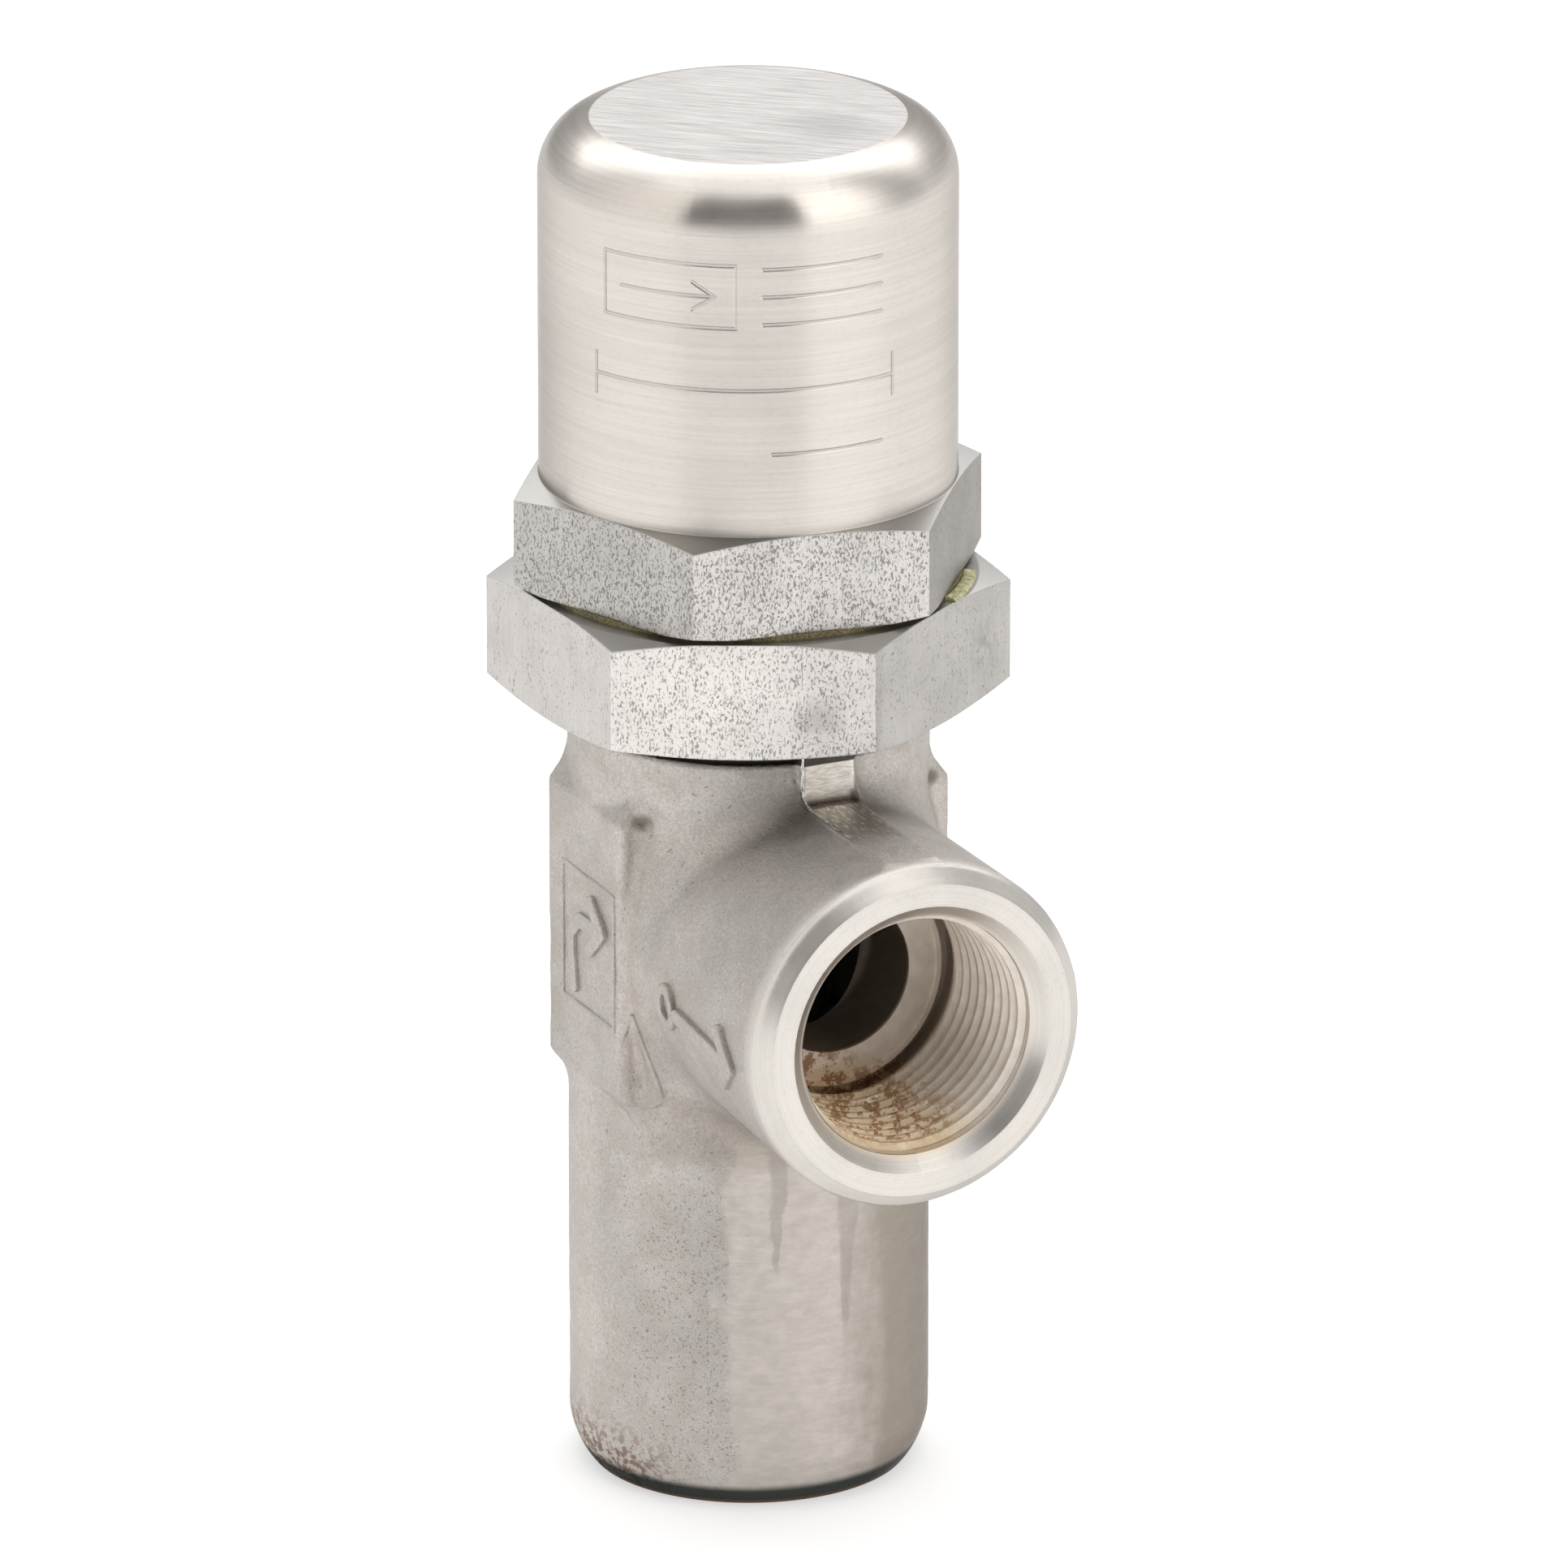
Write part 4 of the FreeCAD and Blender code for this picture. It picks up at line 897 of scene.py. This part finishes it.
def turned_steel(name, tone=(0.62, 0.605, 0.58), rough=0.32):
    """Lathe-turned steel for the parts inside."""
    material, n = new_material(name)
    lines = n.noise(stretched(n, 0.4, 0.4, 8.0), 1.0, 3.0, 0.6)
    cloud = n.noise(n.point, 0.3, 3.0)
    colour = n.shade(n.blend(n.spread(lines), tuple(0.88 * c for c in tone), tone),
                     n.spread(cloud, 0.9, 1.03))
    metal(n, Finish(n, colour, n.spread(cloud, rough, rough + 0.1), n.times(lines, 0.012)),
          edge=0.12)
    return material


def soft_stuff(name, dark, light, rough, scale, depth=0.03):
    """Fibre, rubber or lacquer."""
    material, n = new_material(name)
    grain = n.noise(n.point, scale, 4.0, 0.65)
    cloud = n.noise(n.point, scale * 0.12, 2.0)
    colour = n.shade(n.blend(n.step(grain, 0.35, 0.65), dark, light), n.spread(cloud, 0.8, 1.1))
    finish = Finish(n, colour, n.spread(grain, rough, min(rough + 0.15, 1.0)), n.times(grain, depth))
    metal(n, finish, metallic=0.0, rim=1.0)
    return material


def port_radius(n):
    """Distance from the outlet's axis, and height above it."""
    up = n.minus(n.z, PORT_HEIGHT)
    return n.math("SQRT", n.plus(n.times(n.y, n.y), n.times(up, up))), up


def machined_finish(n, radius):
    """Turned port faces."""
    turned = n.noise(n.join(radius, n.x, 0.0), 6.0, 3.0, 0.6)
    cloud = n.noise(n.point, 0.12, 3.0)
    spots = n.noise(n.point, 2.2, 3.0, 0.7)
    colour = n.blend(n.spread(turned), (0.640, 0.606, 0.562), (0.700, 0.668, 0.626))
    colour = n.shade(colour, n.spread(cloud, 0.94, 1.04))
    colour = n.shade(colour, n.step(spots, 0.28, 0.45, 0.9, 1.0))
    return Finish(n, colour, n.spread(cloud, 0.29, 0.36), n.times(turned, 0.004))


def port_steel():
    """Machined ports and bores of the body, browner inside, with rust low in the outlet, and painted
    shade in the thread's roots, the relief groove and the passage.
    """
    material, n = new_material("port_machined_steel")
    radius, up = port_radius(n)
    finish = machined_finish(n, radius)
    outlet = n.step(n.x, 19.0, 20.5)
    inside = n.both(n.step(radius, 14.0, 13.0), n.step(n.x, PORT_FACE - 0.5, PORT_FACE - 2.5))
    blotch = n.noise(n.point, 0.5, 4.0, 0.65)
    tan = n.times(n.spread(blotch, 0.05, 0.45), inside)
    finish = finish.stained(inside, (1.0, 0.94, 0.87), 0.10)
    finish = finish.stained(tan, (0.72, 0.64, 0.54), 0.08)
    # painted shade in the roots of the outlet's thread
    root_shade = n.both(outlet, n.step(radius, 12.6, 13.05), n.step(n.x, PORT_FACE - 2.2, PORT_FACE - 3.6))
    finish = finish.stained(root_shade, (0.35, 0.28, 0.21), 0.1, share=0.4)
    # painted shade with a brown tint in the relief groove behind the thread
    relief_shade = n.both(n.window(n.x, 20.0, 23.0, 0.3), n.step(radius, 12.0, 12.2))
    finish = finish.stained(relief_shade, (0.30, 0.23, 0.16), 0.1, share=0.3)
    # painted shade with a brown tint down the inner passage
    passage_shade = n.both(n.step(n.x, 21.8, 21.0), n.step(radius, 8.9, 8.6), n.step(n.x, 11.0, 13.0))
    finish = finish.stained(passage_shade, (0.13, 0.09, 0.062), 0.1, share=0.8)
    rust_noise = n.noise(n.point, 0.75, 3.0, 0.7)
    fine_rust = n.noise(n.point, 2.6, 1.0, 0.5)
    rust_noise = n.times_plus(fine_rust, 0.25, n.times(rust_noise, 0.8))
    low_side = n.step(n.times_plus(n.y, 0.2, up), -7.5, -12.0)
    port_rust = n.both(low_side, n.step(n.x, PORT_FACE - 2.0, PORT_FACE - 6.0), outlet,
                       n.step(rust_noise, 0.50, 0.60))
    island_rust = n.both(n.window(n.x, 20.8, 22.4, 0.2), n.step(n.plus(up, n.y), -5.0, -11.0),
                         n.step(rust_noise, 0.48, 0.58))
    tan_low = n.both(low_side, inside, n.step(blotch, 0.2, 0.5))
    finish = finish.stained(tan_low, (0.76, 0.59, 0.38), 0.12, share=0.85)
    rust = n.either(port_rust, island_rust)
    finish = finish.stained(rust, (0.32, 0.145, 0.05), 0.25, share=0.80)
    crust = n.both(inside, n.step(n.x, 21.0, 22.0, 0.3, 1.0))
    metal(n, finish, edge=0.12, wear=0.12, edge_zone=n.step(radius, 13.2, 13.4), rim=0.8,
          metallic=n.times_plus(crust, -0.70, 1.0))
    return material


def blasted_finish(n):
    """Blasted forging skin: fine grain, faint clouds."""
    grain = n.noise(n.point, 2.6, 4.0, 0.75)
    fine = n.noise(n.point, 6.5, 2.0, 0.7)
    cloud = n.noise(n.point, 0.09, 3.0)
    blotch = n.noise(n.point, 0.35, 4.0, 0.6)
    pin = n.noise(n.point, 1.9, 2.0, 0.65)
    colour = n.blend(n.spread(grain), (0.482, 0.450, 0.422), (0.625, 0.590, 0.558))
    colour = n.shade(colour, n.spread(cloud, 0.92, 1.05))
    colour = n.shade(colour, n.spread(fine, 0.90, 1.08))
    colour = n.blend(n.step(blotch, 0.42, 0.7, 0.0, 0.30), colour, (0.47, 0.425, 0.375))
    colour = n.blend(n.step(pin, 0.67, 0.73, 0.0, 0.45), colour, (0.20, 0.165, 0.13))
    height = n.times_plus(fine, 0.034, n.times(grain, 0.085))
    height = n.times_plus(n.step(pin, 0.66, 0.74), -0.05, height)
    return Finish(n, colour, n.spread(blotch, 0.46, 0.56), height), blotch


def forged_steel():
    """Blasted forging with polished patches, the turned outlet chamfer, stains and rust."""
    material, n = new_material("forged_steel")
    radius, _up = port_radius(n)
    finish, blotch = blasted_finish(n)

    # painted light: the barrel's left side brightened, low down
    left_painted_light = n.both(n.step(n.angle, -76.0, -90.0), n.step(n.angle, -160.0, -125.0),
                       n.step(n.z, 46.0, 43.0))
    finish.colour = n.shade(finish.colour, n.times_plus(left_painted_light, 0.14, 1.0))
    wall = n.both(n.window(n.x, 9.3, 10.9, 0.5), n.window(n.z, 46.5, 74.0, 3.0),
                  n.step(n.math("ABSOLUTE", n.y), 15.0, 16.0))
    finish = finish.stained(wall, (0.47, 0.395, 0.325), share=0.26)

    # dark pits on the dull side of the barrel
    waver = n.noise(stretched(n, 0.22, 0.22, 0.12), 1.0, 5.0, 0.65)
    wobble = n.times(n.minus(waver, 0.5), 34.0)
    wavy_angle = n.plus(n.angle, wobble)
    polish = n.both(n.window(wavy_angle, -30.0, 80.0, 3.5), n.step(n.z, 43.0, 40.0))
    zone = n.both(n.minus(1.0, polish), n.step(n.z, 46.0, 30.0, 0.2, 1.0),
                  n.step(wavy_angle, -85.0, -40.0, 0.55, 1.0))
    pit_field = n.noise(n.point, 2.6, 3.0, 0.8)
    limit = n.step(zone, 0.0, 1.0, 0.76, 0.565)
    pits = n.times(n.minus(pit_field, limit), 12.0, clamp=True)
    finish = finish.stained(pits, (0.19, 0.150, 0.115), 0.1, share=0.55)
    finish.height = n.times_plus(pits, -0.06, finish.height)

    # smoother polished side of the barrel, scratched round
    lines = n.noise(stretched(n, 0.35, 0.35, 2.2), 1.0, 5.0, 0.7)
    dents = n.noise(stretched(n, 0.5, 0.5, 0.8), 1.0, 3.0, 0.6)
    smooth = n.blend(n.spread(lines), (0.496, 0.454, 0.415), (0.540, 0.498, 0.458))
    smooth = n.shade(smooth, n.spread(dents, 0.93, 1.05))
    smooth_height = n.times_plus(dents, 0.10, n.times(lines, 0.012))
    finish = finish.under(polish, Finish(n, smooth, n.spread(blotch, 0.33, 0.42), smooth_height))
    shadow_side = n.both(n.window(wavy_angle, 14.0, 110.0, 14.0), n.step(n.z, 42.0, 30.0))
    finish = finish.stained(shadow_side, (0.25, 0.215, 0.175), share=0.72)

    # outlet chamfer, and the brighter rubbed rim before it
    rim = n.step(n.plus(n.x, n.times(blotch, 1.5)), PORT_FACE - BOSS_CHAMFER - 2.2,
                 PORT_FACE - BOSS_CHAMFER)
    finish = finish.stained(n.both(rim, n.step(radius, 15.0, 16.0), n.times(rim, 0.85)),
                            (0.66, 0.63, 0.59), -0.05)
    chamfer = n.step(n.x, PORT_FACE - BOSS_CHAMFER - 0.15, PORT_FACE - BOSS_CHAMFER + 0.25)
    finish = finish.under(chamfer, machined_finish(n, radius))

    # painted shade, dark brown, in the saddle between neck and boss and softer on the boss's top; then
    # the pad's crease and notch
    saddle_shade = n.both(n.step(n.z, 70.5, 78.0), n.step(n.x, 29.0, 20.5), n.step(n.x, 12.0, 17.0),
                    n.step(n.z, 83.5, 80.0))
    outside = n.times_plus(n.z, 1.25, n.math("ABSOLUTE", n.y))
    saddle_shade = n.times(saddle_shade, n.step(outside, 107.0, 102.5))
    finish = finish.stained(saddle_shade, (0.15, 0.12, 0.095), share=0.60)
    # darker brown in the crease where the pad's lower end meets the barrel
    crease = n.both(n.window(n.radius, 18.6, 20.6, 0.7), n.window(n.z, 39.0, 46.5, 1.5),
                    n.step(n.x, 8.0, 14.0))
    finish = finish.stained(crease, (0.20, 0.15, 0.10), share=0.35)
    # painted shade in the notch at the pad's upper end
    notch_shade = n.both(n.near(n.vector("ABSOLUTE", n.point), (10.4, 17.2, 76.2), 1.6, 0.8),
                   n.step(blotch, 0.25, 0.5, 0.6, 1.0))
    finish = finish.stained(notch_shade, (0.14, 0.11, 0.07), share=0.85)

    # flash ground off neck and boss
    band = n.step(n.math("ABSOLUTE", n.y), 3.1, 2.9)
    scratches = n.noise(stretched(n, 0.5, 0.7, 4.5), 1.0, 4.0, 0.7)
    ground = n.blend(n.step(scratches, 0.35, 0.65), (0.72, 0.67, 0.61), (1.0, 0.97, 0.92))
    ground = Finish(n, ground, 0.55, n.times(scratches, 0.03))
    step_face = n.both(band, n.step(n.x, LAND_REACH - 0.1, LAND_REACH - 0.03),
                       n.step(n.x, LAND_REACH + 0.3, LAND_REACH + 0.1), n.step(n.z, 79.6, 79.9))
    finish = finish.under(step_face, ground)
    nicks = n.noise(stretched(n, 0.9, 3.4, 1.0), 1.0, 3.0, 0.6)
    rubbed = n.blend(n.step(nicks, 0.52, 0.62), (0.52, 0.475, 0.425), (0.98, 0.93, 0.87))
    rubbed = Finish(n, rubbed, 0.34, n.times(nicks, 0.06))
    top_band = n.both(band, n.step(n.z, 79.2, 79.4), n.step(n.x, LAND_REACH, LAND_REACH + 0.3),
                      n.step(n.x, 36.0, 27.0, 0.0, 0.8))
    finish = finish.under(top_band, rubbed)
    # painted shadow under the step at the lower end of the ground patch
    corner = n.both(band, n.step(n.z, 80.6, 79.7), n.window(n.x, LAND_REACH - 0.3, 21.6, 0.3))
    finish = finish.stained(corner, (0.10, 0.085, 0.065), share=0.7)

    # painted shadow: the groove under the bonnet's hexagon made nearly black
    groove_shadow = n.both(n.step(n.z, NECK_GAP - 0.1, NECK_GAP), n.step(n.z, NECK_TOP - 0.02, NECK_TOP - 0.05))
    finish = finish.stained(groove_shadow, (0.035, 0.032, 0.026), 0.1, share=0.9)

    # drips under the boss, tapering downwards
    for middle, width, low, high in ((-16.0, 3.2, 26.5, 38.5), (8.0, 4.2, 19.0, 36.0)):
        narrow = n.step(n.z, low, high, 0.3, 1.0)
        drift = n.plus(n.minus(n.angle, middle), n.times(wobble, 0.30))
        away = n.math("DIVIDE", n.math("ABSOLUTE", drift), narrow)
        drip = n.both(n.step(away, width * 1.25, width * 0.65), n.step(n.z, low - 1.0, low + 2.0),
                      n.step(n.z, high + 5.0, high))
        finish = finish.stained(drip, (0.28, 0.25, 0.215), 0.06, share=0.42)

    # foot: rust low on the dull side, dark greenish chamfer, reddish lower edge
    rust_noise = n.noise(n.point, 1.1, 4.0, 0.7)
    foot_rust = n.both(n.step(n.z, 9.5, 3.0), n.window(n.angle, -110.0, -55.0, 12.0),
                       n.step(rust_noise, 0.47, 0.56))
    finish = finish.stained(foot_rust, (0.20, 0.105, 0.055), 0.2, share=0.75)
    foot = n.step(n.z, 2.7, 1.6)
    finish = finish.stained(foot, (0.030, 0.038, 0.034), share=0.96)
    rim_line = n.step(n.z, 0.55, 0.25)
    finish = finish.stained(rim_line, (0.25, 0.12, 0.07), 0.05, share=0.5)
    metal(n, finish, rim=0.62)
    return material


def burr_steel():
    material, n = new_material("torn_flash")
    grain = n.noise(n.point, 2.5, 3.0, 0.6)
    colour = n.blend(n.spread(grain), (0.55, 0.53, 0.50), (0.85, 0.84, 0.82))
    metal(n, Finish(n, colour, n.spread(grain, 0.22, 0.4), n.times(grain, 0.03)))
    return material


MATERIALS = {
    "cap": cap_steel(),
    "bonnet": bonnet_steel(),
    "body": forged_steel(),
    "cap_gasket": soft_stuff("fibre_gasket", (0.10, 0.085, 0.04), (0.27, 0.235, 0.12), 0.75, 4.0),
    "bonnet_gasket": soft_stuff("fibre_gasket_dark", (0.05, 0.045, 0.035), (0.12, 0.10, 0.07), 0.8, 4.0),
    "sealing_compound": soft_stuff("lacquer", (0.30, 0.29, 0.09), (0.66, 0.65, 0.42), 0.4, 1.6, 0.10),
    "nozzle_o_ring": soft_stuff("elastomer", (0.012, 0.012, 0.012), (0.03, 0.03, 0.03), 0.5, 6.0),
    "soft_seat_disc": soft_stuff("soft_seat", (0.55, 0.53, 0.48), (0.70, 0.68, 0.62), 0.45, 3.0),
    "guide_bush": turned_steel("bronze", (0.55, 0.38, 0.20), 0.35),
    "set_spring": turned_steel("spring_steel", (0.38, 0.37, 0.36), 0.38),
}
inside_steel = turned_steel("inner_turned_steel")
for word, node in nodes.items():
    for slot in node.material_slots:
        slot.material = MATERIALS.get(word, inside_steel)
for piece, material in ((forging, MATERIALS["body"]), (machined_faces, port_steel()),
                        (outlet_thread, bpy.data.materials["port_machined_steel"]),
                        (inlet_thread, bpy.data.materials["port_machined_steel"]), (burr, burr_steel()),
                        *((mark, MATERIALS["body"]) for mark in marks),
                        *((half, MATERIALS["set_spring"]) for half in spring_halves)):
    piece.data.materials.clear()
    piece.data.materials.append(material)
